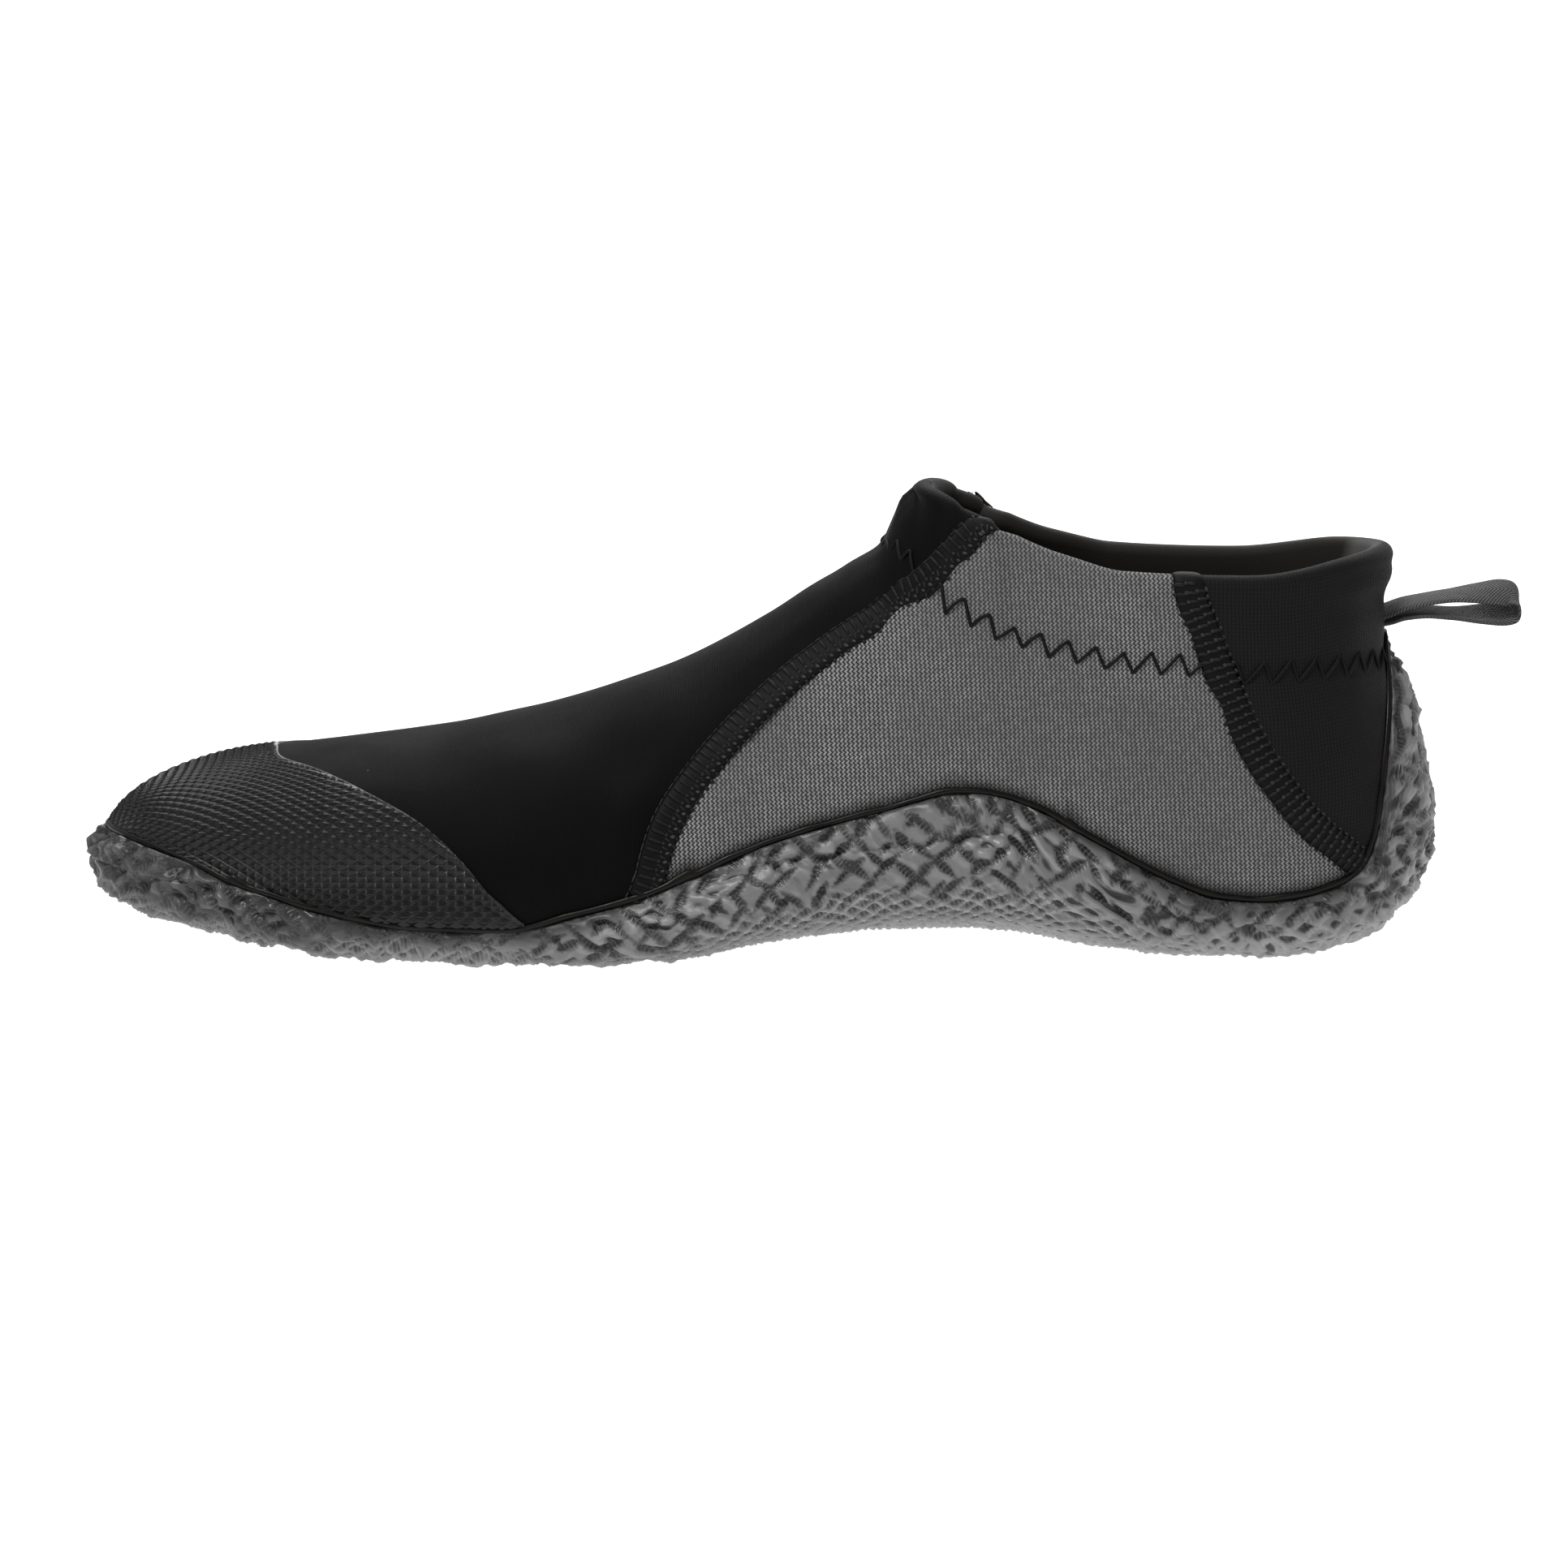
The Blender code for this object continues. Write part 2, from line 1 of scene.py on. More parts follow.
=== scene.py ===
"""Visual model of a low wetsuit bootie for a right foot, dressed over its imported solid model.

Tables are in millimetres and meshes in metres, both in the solid model's own frame: the toe points to -X, the
inner side of the foot is -Y and the floor is at Z = 0.
"""
import math

import bmesh
import bpy
import numpy as np
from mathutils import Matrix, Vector


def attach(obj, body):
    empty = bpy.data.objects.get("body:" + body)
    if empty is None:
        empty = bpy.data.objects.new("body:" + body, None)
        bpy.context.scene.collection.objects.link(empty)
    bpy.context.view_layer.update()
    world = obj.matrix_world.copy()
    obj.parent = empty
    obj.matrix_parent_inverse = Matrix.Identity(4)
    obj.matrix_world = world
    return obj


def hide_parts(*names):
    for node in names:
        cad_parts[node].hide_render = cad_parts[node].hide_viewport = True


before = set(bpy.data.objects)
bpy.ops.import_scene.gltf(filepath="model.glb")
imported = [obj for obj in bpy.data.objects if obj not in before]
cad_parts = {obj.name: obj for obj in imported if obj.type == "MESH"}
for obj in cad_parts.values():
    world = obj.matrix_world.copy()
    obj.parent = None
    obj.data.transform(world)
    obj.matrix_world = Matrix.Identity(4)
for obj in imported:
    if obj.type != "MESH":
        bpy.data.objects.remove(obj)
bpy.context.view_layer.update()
MM = 0.001

# View, floor and light. The bootie stands on a white table under large soft lights. It is seen from its inner
# side and a little from above, through a long lens.
VIEW_TARGET = Vector((50.2, 0, 32.0)) * MM
VIEW_DISTANCE = 1300 * MM
VIEW_RISE = math.radians(10)
LENS = 140.5
SENSOR_WIDTH = 36
FLOOR_SIZE = 16
FLOOR_COLOR = (0.35, 0.35, 0.35, 1)
FLOOR_GLOW = 0.95
FLOOR_ROUGHNESS = 0.9
WORLD_COLOR = (1, 1, 1, 1)
WORLD_STRENGTH = 0.4
LIGHT_COLUMNS = ("name", "place", "size", "watts")
LIGHTS = (
    ("key", (-0.35, -0.55, 1.4), 0.45, 17),
    ("back", (0.2, 1.0, 1.1), 1.0, 17),
)


def link_object(item):
    bpy.context.scene.collection.objects.link(item)
    return item


def make_camera():
    camera = link_object(bpy.data.objects.new("camera", bpy.data.cameras.new("camera")))
    back = Vector((0, -math.cos(VIEW_RISE), math.sin(VIEW_RISE)))
    camera.location = VIEW_TARGET + back * VIEW_DISTANCE
    camera.rotation_mode = "QUATERNION"
    camera.rotation_quaternion = (-back).to_track_quat("-Z", "Y")
    camera.data.lens = LENS
    camera.data.sensor_width = SENSOR_WIDTH
    bpy.context.scene.camera = camera


def make_lights():
    world = bpy.data.worlds.new("studio")
    world.use_nodes = True
    sky = world.node_tree.nodes["Background"]
    sky.inputs["Color"].default_value = WORLD_COLOR
    sky.inputs["Strength"].default_value = WORLD_STRENGTH
    bpy.context.scene.world = world
    for row in LIGHTS:
        given = dict(zip(LIGHT_COLUMNS, row))
        data = bpy.data.lights.new(given["name"], "AREA")
        data.size = given["size"]
        data.energy = given["watts"]
        light = link_object(bpy.data.objects.new(given["name"], data))
        light.location = given["place"]
        light.rotation_mode = "QUATERNION"
        to_target = VIEW_TARGET - Vector(given["place"])
        light.rotation_quaternion = to_target.to_track_quat("-Z", "Y")


def make_floor():
    half = FLOOR_SIZE / 2
    mesh = bpy.data.meshes.new("floor")
    corners = [(-half, -half, 0), (half, -half, 0), (half, half, 0), (-half, half, 0)]
    mesh.from_pydata(corners, [], [(0, 1, 2, 3)])
    material = bpy.data.materials.new("pale_table")
    material.use_nodes = True
    shader = material.node_tree.nodes["Principled BSDF"]
    shader.inputs["Base Color"].default_value = FLOOR_COLOR
    shader.inputs["Roughness"].default_value = FLOOR_ROUGHNESS
    shader.inputs["Emission Color"].default_value = WORLD_COLOR
    shader.inputs["Emission Strength"].default_value = FLOOR_GLOW
    mesh.materials.append(material)
    floor = link_object(bpy.data.objects.new("floor", mesh))


bpy.context.scene.view_settings.view_transform = "Standard"
make_camera()
make_lights()
make_floor()

# Upper. A sock of 2.5 mm foamed neoprene: a smooth black vamp, a grey knit-faced quarter on each side and a
# black knit-faced heel, butt-joined, lasted over the foot's shape and folded inward as a hem at the collar.
WALL = 2.5
HEM_WALL = 5.0
HEM_RAMP = 0.05
SECTION_COLUMNS = ("name", "foot_x", "foot_y", "foot_z", "spring", "square",
                   "in_x", "in_y", "in_z", "out_x", "out_y", "out_z",
                   "top_x", "top_y", "top_z", "lean", "tilt", "shoulder", "crown", "corner_wall")
SECTIONS = (
    ("toe_tip", -74, -8, 12, .45, .60, -93.3, -8, 20, -93.3, -8, 20, -57, 0, 40.2, 6, 0, .64, .43, 3.8),
    ("toe_corner", -72, -8, 11, .35, .62, -88, -24, 19, -89, 8, 19, -55, 0, 40.4, 5, 0, .64, .43, 3.8),
    ("toe_side", -62, -6, 9.0, .15, .70, -71, -36.0, 18, -75, 23.0, 18, -47.0, 0, 41.2, 4, 0, .61, .42, 4.6),
    ("forefoot", -40, -3, 6.0, 0, .80, -41, -42.0, 17, -45, 37.5, 17, -28.0, 0, 43.2, 2, 0, .58, .42, 6.6),
    ("ball", -8, 0, 4.5, 0, .88, -8, -43.5, 17, -5, 46.0, 17, -2.0, 0, 48.2, 1, 0, .55, .40, 7.8),
    ("behind_ball", 24, 2, 4.6, 0, .86, 24, -39.8, 18, 25, 47.0, 18, 25.0, 0, 57.0, 0, 0, .52, .38, 7.4),
    ("waist", 47, 3, 7.0, 0, .82, 47, -35.0, 22, 47, 44.0, 19, 47.0, 0, 68.4, 0, 0, .50, .36, 6.8),
    ("instep", 63, 2, 8.4, 0, .80, 63, -32.2, 24, 63, 40.2, 20, 63.0, 0, 78.6, 0, 0, .50, .32, 6.5),
    ("neck", 70.8, 1, 9.0, 0, .80, 70.8, -31.2, 25, 70.8, 38.6, 21, 70.8, 0, 84.0, 0, 0, .50, .25, 6.5),
    ("throat", 77.2, 1, 9.0, 0, .80, 77.2, -30.6, 25.5, 77.2, 37.3, 22, 77.2, 0, 95.4, 0, 0, .50, .19, 6.5),
    ("collar_front", 86, 1, 8.9, 0, .80, 86, -29.9, 26.5, 86, 35.8, 23, 86.0, 0, 110.5, 0, 0, .50, .17, 6.8),
    ("collar_side", 100, 0, 8.4, 0, .82, 100, -29.5, 28, 100, 33.8, 25, 98, 14, 104, 70, 8, .48, .32, 7.2),
    ("ankle", 125, 0, 6.3, 0, .86, 125, -30.4, 28, 125, 31.6, 27, 120.0, 25.5, 78.4, 88, 0, .45, .36, 9.2),
    ("heel_side", 148, 0, 4.7, 0, .88, 150, -30.5, 28, 150, 30.5, 28, 148, 25.5, 77.2, 94, 0, .45, .36, 9.6),
    ("heel_corner", 156, 0, 4.5, .1, .74, 173, -21.5, 28, 173, 21.5, 28, 169, 18, 79.8, 101, 0, .45, .36,
     5.6),
    ("heel_back", 158, 0, 4.5, .15, .60, 184.5, 0, 26, 184.5, 0, 26, 178.6, 0, 80.6, 109, 0, .42, .38, 4.0),
)
THROAT_ROW = 9
ANKLE_ROW = 12
FOOT_FLAT = .92
COLLAR_COLUMNS = ("x", "z")
COLLAR = ((70, 95.4), (77.2, 95.1), (82.5, 93.6), (89, 90.3), (96, 86.8), (107, 82.0), (120, 78.4),
          (148, 77.2))
SOLE_EDGE_COLUMNS = ("station", "in_rise", "out_rise")
SOLE_EDGE = (
    (0, .560, .560), (16, .572, .560), (32, .548, .520), (48, .481, .450), (65, .384, .380), (85, .315, .340),
    (106, .315, .340), (120, .389, .360), (133, .447, .385), (145, .500, .410), (170, .531, .440),
    (187, .537, .450), (204, .533, .450), (220, .510, .435), (229, .468, .415), (238, .415, .390),
    (246, .368, .362), (254, .330, .335), (263, .323, .325), (272, .330, .330), (281, .352, .352),
    (286.5, .395, .395), (289.5, .450, .450), (292, .530, .530), (296, .625, .625), (301, .705, .705),
    (306, .775, .775), (310, .830, .830), (313.2, .848, .848),
)
LINE_COLUMNS = ("station", "rise")
HEM_EDGE = ((182.5, 1.04), (184.3, .985), (186, .926), (191, .800), (197, .708), (202, .691), (207, .701),
            (213, .724), (219, .737), (225, .767), (231.5, .812), (238, .834), (248.5, .834), (259.5, .815),
            (273, .814), (286, .803), (314, .80))
HEM_ON_WALL = [row for row in HEM_EDGE if row[1] <= 1]
FRONT_SEAM = ((134.0, .440), (139.1, .594), (147, .680), (155.7, .736), (167.7, .781), (177.2, .795),
              (185.7, .797), (191.2, .770), (196.7, .751), (199.3, .754), (201.9, .771), (205.1, .806),
              (207.9, .850))
REAR_SEAM = ((250.3, 1.100), (252.0, .980), (254.3, .910), (257.2, .788), (260.4, .687), (264, .615),
             (271, .527), (280, .450), (287.5, .380))
STROBEL_RISE = .22
RIM_FOLD_NEAR = 1.75
RIM_FOLD_FAR = 1.2
HEEL_PATCH = 296
VAMP, QUARTER, HEEL, LINING = range(4)
CUT_POINTS = 240
PATH_POINTS = 600
LATTICE = 24
MERGE_DISTANCE = 0.00002
SHORT_EDGE = 0.000005


def table(columns, rows):
    return {name: np.array([row[i] for row in rows], float)
            for i, name in enumerate(columns) if name != "name"}


def slopes_of(stations, values):
    """Slopes of a curve through the rows that keeps level stretches level and adds no bumps."""
    step = np.diff(stations)
    grade = np.diff(values) / step
    before = grade[:-1]
    after = grade[1:]
    weight_before = 2 * step[1:] + step[:-1]
    weight_after = step[1:] + 2 * step[:-1]
    inner = np.zeros(len(values) - 2)
    same = before * after > 0
    inner[same] = (weight_before + weight_after)[same] / (
        weight_before[same] / before[same] + weight_after[same] / after[same])
    return np.concatenate([[grade[0]], inner, [grade[-1]]])


def curve_through(stations, values, at):
    slope = slopes_of(stations, values)
    i = np.clip(np.searchsorted(stations, at, side="right") - 1, 0, len(stations) - 2)
    step = stations[i + 1] - stations[i]
    t = np.clip((at - stations[i]) / step, 0, 1)
    left = values[i] * (1 + 2 * t) * (1 - t) ** 2 + slope[i] * step * t * (1 - t) ** 2
    right = values[i + 1] * t * t * (3 - 2 * t) + slope[i + 1] * step * t * t * (t - 1)
    return left + right


def read_off(columns, rows, name, at):
    """A column of a table, read as a curve over the table's first column."""
    values = table(columns, rows)
    return curve_through(values[columns[0]], values[name], at)


def stations_of(rows):
    """Distance round the foot at each section, the mean of its two sides."""
    inner = np.hypot(np.diff(rows["in_x"]), np.diff(rows["in_y"]))
    outer = np.hypot(np.diff(rows["out_x"]), np.diff(rows["out_y"]))
    return np.concatenate([[0], np.cumsum((inner + outer) / 2)])


ROWS = table(SECTION_COLUMNS, SECTIONS)
STATIONS = stations_of(ROWS)
TOTAL = STATIONS[-1]
THROAT = STATIONS[THROAT_ROW]
ANKLE = STATIONS[ANKLE_ROW]


def ring_of(inner, outer):
    """A column of the table right round the foot: inner side, toe, outer side, and a row past each end."""
    return np.concatenate([[outer[-2]], inner[:0:-1], outer, [inner[-2]]])


RING = ring_of(-STATIONS, STATIONS)
RING[0] = -2 * TOTAL + STATIONS[-2]
RING[-1] = 2 * TOTAL - STATIONS[-2]


def round_foot(name, s):
    return curve_through(RING, ring_of(ROWS[name], ROWS[name]), s)


def side_round_foot(axis, s):
    return curve_through(RING, ring_of(ROWS["in_" + axis], ROWS["out_" + axis]), s)


def top_point(s):
    y = curve_through(RING, ring_of(-ROWS["top_y"], ROWS["top_y"]), s)
    return np.stack([round_foot("top_x", s), y, round_foot("top_z", s)], -1)


def bezier(a, b, c, d, t):
    t = t[..., None]
    return a * (1 - t) ** 3 + 3 * b * t * (1 - t) ** 2 + 3 * c * t * t * (1 - t) + d * t ** 3


def form(s, v):
    """The outer face of the sock at station s (inner side negative) and rise v."""
    s, v = np.broadcast_arrays(np.asarray(s, float), np.asarray(v, float))
    up = np.array([0, 0, 1.0])
    level = np.array([1.0, 1.0, 0])
    foot = np.stack([round_foot("foot_" + axis, s) for axis in "xyz"], -1)
    side = np.stack([side_round_foot(axis, s) for axis in "xyz"], -1)
    top = top_point(s)
    rise = (side - foot) * up
    sole_out = foot + FOOT_FLAT * (side - foot) * level + round_foot("spring", s)[..., None] * rise
    sole_up = side - round_foot("square", s)[..., None] * rise
    across = (top - side) * level
    across = across / np.maximum(np.linalg.norm(across, axis=-1), 1e-6)[..., None]
    lean = np.radians(round_foot("lean", s))[..., None]
    tilt = np.radians(round_foot("tilt", s))
    climb = np.stack([np.sin(tilt), np.zeros_like(s), np.cos(tilt)], -1)
    heading = across * np.cos(lean) + climb * np.sin(lean)
    span = np.linalg.norm(top - side, axis=-1)[..., None]
    wall_up = side + round_foot("shoulder", s)[..., None] * (top - side) * up
    wall_in = top - round_foot("crown", s)[..., None] * span * heading
    below = bezier(foot, sole_out, sole_up, side, np.clip(v * 2, 0, 1))
    above = bezier(side, wall_up, wall_in, top, np.clip(v * 2 - 1, 0, 1))
    return np.where((v < .5)[..., None], below, above)


def unit(vectors):
    return vectors / np.maximum(np.linalg.norm(vectors, axis=-1), 1e-12)[..., None]


def held(value):
    """A value held between 0 and 1."""
    return np.clip(value, 0, 1)


def bell(value, width):
    """A bell curve, 1 at the value 0."""
    return np.exp(-(value / width) ** 2)


def slopes_on_form(s, v):
    """Change of the point per station and per rise."""
    reach = 0.05
    lift = 0.001
    low = np.clip(v - lift / 2, 0, 1 - lift)
    inside = held(v)
    along = (form(s + reach, inside) - form(s - reach, inside)) / (2 * reach)
    upward = (form(s, low + lift) - form(s, low)) / lift
    return along, upward


def side_normal(s, v):
    along, upward = slopes_on_form(s, v)
    return unit(np.cross(upward, along))


def normal(s, v):
    """Outward direction, the same for both sides where they meet along the sole and along the ridge."""
    s, v = np.broadcast_arrays(np.asarray(s, float), np.asarray(v, float))
    own = side_normal(s, v)
    near = np.clip(v, .03, .97)
    shared = unit(side_normal(s, near) + side_normal(-s, near))
    meets = (v < 1e-6) | ((v > 1 - 1e-6) & (np.abs(s) < THROAT + 1e-6))
    return np.where(meets[..., None], shared, own)


def off_form(s, v, out):
    """A place a distance out of the sock."""
    return form(s, v) + normal(s, v) * out[..., None]


def cut_of_collar():
    """Stations along the cut of the collar, and the rise of the cut on the inner and the outer side."""
    stations = np.linspace(THROAT, ANKLE, CUT_POINTS)
    s = np.stack([-stations, stations])
    low = np.full_like(s, .6)
    high = np.ones_like(s)
    for _ in range(30):
        middle = (low + high) / 2
        point = form(s, middle)
        below = point[..., 2] < read_off(COLLAR_COLUMNS, COLLAR, "z", point[..., 0])
        low = np.where(below, middle, low)
        high = np.where(below, high, middle)
    return stations, low[0], low[1]


CUT_STATIONS, CUT_IN, CUT_OUT = cut_of_collar()


def collar_rise(s):
    """Rise at which the wall ends: the ridge, and the cut of the collar from the throat back."""
    inner = np.interp(np.abs(s), CUT_STATIONS, CUT_IN)
    outer = np.interp(np.abs(s), CUT_STATIONS, CUT_OUT)
    on_cut = (np.abs(s) > THROAT + 1e-6) & (np.abs(s) < ANKLE - 1e-6)
    return np.where(on_cut, np.where(s < 0, inner, outer), 1.0)


def rise_per_mm(s, v):
    return 1 / np.linalg.norm(slopes_on_form(s, v)[1], axis=-1)


def edge_rise(s):
    """Rise of the sole's top edge."""
    inner = read_off(SOLE_EDGE_COLUMNS, SOLE_EDGE, "in_rise", np.abs(s))
    outer = read_off(SOLE_EDGE_COLUMNS, SOLE_EDGE, "out_rise", np.abs(s))
    return np.where(s < 0, inner, outer)


def rim_frame(s):
    """End of the wall at the collar, the way out of the wall there, and the way up over the rim."""
    rise = collar_rise(s)
    edge = form(s, rise)
    out = normal(s, rise)
    ahead = unit(form(s + .2, collar_rise(s + .2)) - form(s - .2, collar_rise(s - .2)))
    return edge, out, unit(np.cross(ahead, out))


def path_on_form(rows, side, pitch):
    """Stations and rises along a line given by a few rows, a pitch in millimetres apart."""
    line = table(LINE_COLUMNS, rows)
    knots = np.arange(len(rows), dtype=float)
    fine = np.linspace(0, knots[-1], PATH_POINTS)
    s = side * curve_through(knots, line["station"], fine)
    v = curve_through(knots, line["rise"], fine)
    on_wall = np.minimum(v, collar_rise(s))
    past_rim = (v - on_wall) / rise_per_mm(s, on_wall)
    steps = np.linalg.norm(np.diff(form(s, on_wall), axis=0), axis=1) + np.abs(np.diff(past_rim))
    length = np.concatenate([[0], np.cumsum(steps)])
    at = np.linspace(0, length[-1], max(2, round(length[-1] / pitch)))
    return np.interp(at, length, s), np.interp(at, length, v)


def distance_to(points, line):
    """Distance of each point to the nearest point of a line."""
    flat = points.reshape(-1, 3)
    found = [np.sqrt(((part[:, None] - line[None]) ** 2).sum(-1).min(1))
             for part in np.array_split(flat, max(1, len(flat) // 4000))]
    return np.concatenate(found).reshape(points.shape[:-1])


def lumps(points, size, seed):
    """Soft random lumps of about one size, from -1 to 1."""
    lattice = np.random.default_rng(seed).uniform(-1, 1, (LATTICE, LATTICE, LATTICE))
    cell = np.asarray(points) / size
    base = np.floor(cell).astype(int)
    part = cell - base
    part = part * part * (3 - 2 * part)
    total = np.zeros(cell.shape[:-1])
    for corner in np.ndindex(2, 2, 2):
        at = (base + np.array(corner)) % LATTICE
        weight = np.prod(np.where(np.array(corner) == 1, part, 1 - part), -1)
        total = total + weight * lattice[at[..., 0], at[..., 1], at[..., 2]]
    return total


def build_piece(name, sheets, materials):
    """One object from sheets of points that share their edges. A sheet has points, whether it closes on
    itself, and may have a material slot for each face, a cloth map and marks for each point."""
    points = []
    quads = []
    slots = []
    cloth = []
    marks = {key: [] for sheet in sheets for key in sheet.get("marks", {})}
    first = 0
    for sheet in sheets:
        grid = sheet["points"]
        columns, rows = grid.shape[:2]
        column = np.arange(columns if sheet["closed"] else columns - 1)[:, None]
        a = first + column * rows + np.arange(rows - 1)
        b = first + (column + 1) % columns * rows + np.arange(rows - 1)
        quads.append(np.stack([a, b, b + 1, a + 1], -1).reshape(-1, 4))
        slots.append(np.broadcast_to(sheet.get("slots", 0), a.shape).ravel())
        points.append(grid.reshape(-1, 3))
        cloth.append(sheet.get("cloth", np.zeros(grid.shape[:2] + (2,))).reshape(-1, 2))
        for key in marks:
            value = sheet.get("marks", {}).get(key, 0)
            marks[key].append(np.broadcast_to(value, grid.shape[:2]).ravel())
        first += columns * rows
    points = np.concatenate(points) * MM
    quads = np.concatenate(quads)
    mesh = bpy.data.meshes.new(name)
    mesh.from_pydata(points.tolist(), [], quads.tolist())
    mesh.polygons.foreach_set("material_index", np.concatenate(slots).astype(np.int32))
    layer = mesh.uv_layers.new(name="cloth")
    layer.data.foreach_set("uv", (np.concatenate(cloth) * MM)[quads.ravel()].astype(np.float32).ravel())
    for key, values in marks.items():
        mark = mesh.attributes.new(key, "FLOAT", "POINT")
        mark.data.foreach_set("value", np.concatenate(values).astype(np.float32))
    work = bmesh.new()
    work.from_mesh(mesh)
    bmesh.ops.remove_doubles(work, verts=work.verts, dist=MERGE_DISTANCE)
    bmesh.ops.dissolve_degenerate(work, edges=work.edges, dist=SHORT_EDGE)
    bmesh.ops.recalc_face_normals(work, faces=work.faces)
    work.to_mesh(mesh)
    work.free()
    mesh.shade_smooth()
    for material in materials:
        mesh.materials.append(material)
    return link_object(bpy.data.objects.new(name, mesh))


def stations_between(start, end, pitch):
    return np.linspace(start, end, max(2, round((end - start) / pitch)), endpoint=False)


def both_sides(half):
    """Stations right round the foot, from those of its outer side."""
    return np.concatenate([[-TOTAL], -half[:0:-1], half])


def spread(columns, rows):
    """The station of each point of a sheet, from those of its columns."""
    return np.repeat(columns[:, None], rows, 1)


def run_along(points):
    """Distance run along each line of points."""
    steps = np.linalg.norm(np.diff(points, axis=-2), axis=-1)
    return np.concatenate([np.zeros(steps.shape[:-1] + (1,)), np.cumsum(steps, -1)], -1)


def wall_at(s, v):
    """Thickness of the sock: one layer, and two where the hem is folded in."""
    line = read_off(LINE_COLUMNS, HEM_EDGE, "rise", np.abs(s))
    share = held((v - line) / HEM_RAMP + 1)
    return WALL + (HEM_WALL - WALL) * share * share * (3 - 2 * share)


# Soft troughs of the upper: the fold where the vamp turns up into the collar, its branches towards
# the seams, and slack folds in the quarter. The rows of a path are station and rise.
CREASE_COLUMNS = ("path", "width", "depth")
CREASES = (
    (((178, 1.0), (181, .95), (185, .88)), 6.0, .35),
    (((196, .66), (204, .62), (214, .60), (226, .62)), 9.0, .55),
    (((160, .70), (172, .66), (186, .64)), 9.0, .5),
    (((236, .70), (244, .62), (252, .55), (262, .50)), 8.0, .45),
    (((118, .86), (126, .74), (131, .62)), 8.0, .35),
    (((268, .78), (278, .72), (290, .70)), 6.0, .4),
)
# A trough has a bank on either side. The sizes of a crease are shares of its own depth and width.
CREASE_SHAPE = {"depth": 1, "width": 1, "bank": .45, "bank_at": 1.9, "bank_width": 1}
SEAM_TROUGH = {"depth": .55, "width": 4.5, "bank": .3, "bank_at": 8.5, "bank_width": 3.5}
HEM_TROUGH = {"depth": .45, "width": 3.2, "bank": .3, "bank_at": 7.5, "bank_width": 4.0}
TROUGH_STEP = 1.5
HEEL_ROLL = .9
HEEL_ROLL_START = 272
HEEL_ROLL_FADE = 24
HEEL_ROLL_DEPTH = 3.5
HEEL_ROLL_WIDTH = 2.6
THROAT_ROLL = 1.0
THROAT_ROLL_AHEAD = 1.6
THROAT_ROLL_WIDTH = 1.8
COLLAR_FADE = 16


def away_from(points, rows, side):
    """Distance of each point to a line on the sock."""
    return distance_to(points, form(*path_on_form(rows, side, TROUGH_STEP)))


def trough(away, depth, width, bank, bank_at, bank_width):
    return bank * bell(away - bank_at, bank_width) - depth * bell(away, width)


def relief_of_upper(s, v, points):
    """How far the dressed wall stands out of the plain form."""
    out = .22 * lumps(points, 26, 3) + .10 * lumps(points, 9, 4)
    for side in (-1, 1):
        for row in CREASES:
            crease = dict(zip(CREASE_COLUMNS, row))
            away = away_from(points, crease["path"], side) / crease["width"]
            out = out + crease["depth"] * trough(away, **CREASE_SHAPE)
        for rows in (FRONT_SEAM, REAR_SEAM):
            out = out + trough(away_from(points, rows, side), **SEAM_TROUGH)
        out = out + trough(away_from(points, HEM_ON_WALL, side), **HEM_TROUGH)
    end = collar_rise(s[:, :1])
    depth = (end - v) / rise_per_mm(s, v)
    at_heel = held((np.abs(s) - HEEL_ROLL_START) / HEEL_ROLL_FADE)
    roll = bell(depth - HEEL_ROLL_DEPTH, HEEL_ROLL_WIDTH) * held(depth / 2) * at_heel
    shown = held((v - edge_rise(s)) / .06)
    below_rim = held((end - v) / .04)
    at_collar = held((np.abs(s) - THROAT + COLLAR_FADE) / COLLAR_FADE)
    ahead = THROAT - np.abs(s)
    knob = bell(ahead - THROAT_ROLL_AHEAD, THROAT_ROLL_WIDTH) * held(ahead) * held((v - .86) / .1)
    return out * shown * (1 - at_collar * (1 - below_rim)) + HEEL_ROLL * roll + THROAT_ROLL * knob


# Rows and columns of the sheets of the upper. A stretch of columns has its start, its end and its pitch.
UPPER_STRETCHES = ((0, 120, 1.6), (120, THROAT - 10, 1.25), (THROAT - 10, THROAT, .6),
                   (THROAT, THROAT + 8, .6), (THROAT + 8, 232, 1.0), (232, TOTAL, 1.3))
UPPER_ROWS = 86
LINING_ROWS = 44
RIM_ROWS = 13
RIM_CLOTH = 95
DARK_START_ABOVE_SEAL = 1.6
DARK_FADE_ABOVE_SEAL = 2.6
PATCH_FADE = 5
EASE_ROUNDS = 30
EASE_WIDTH = 5


def rows_of_upper(columns, end):
    """Rises of the rows of the wall: the low rows pass the throat level, and the high ones follow the rim."""
    share = np.linspace(0, 1, UPPER_ROWS)
    near = bell(columns[:, None] - columns, 8)
    level = near @ end / near.sum(1)[:, None]
    follow = level + (end - level) * share ** 8
    return STROBEL_RISE + (follow - STROBEL_RISE) * share


def ease_throat(points, out, s, from_rim):
    """Takes the crease out of the cloth where the closed instep opens into the collar."""
    pull = bell(np.abs(s) - THROAT, EASE_WIDTH) * held(from_rim / .06)
    for _ in range(EASE_ROUNDS):
        between = (np.roll(points, 1, 0) + np.roll(points, -1, 0)) / 2
        step = pull * np.sum((between - points) * out, -1)
        points = points + step[..., None] * out
    return points


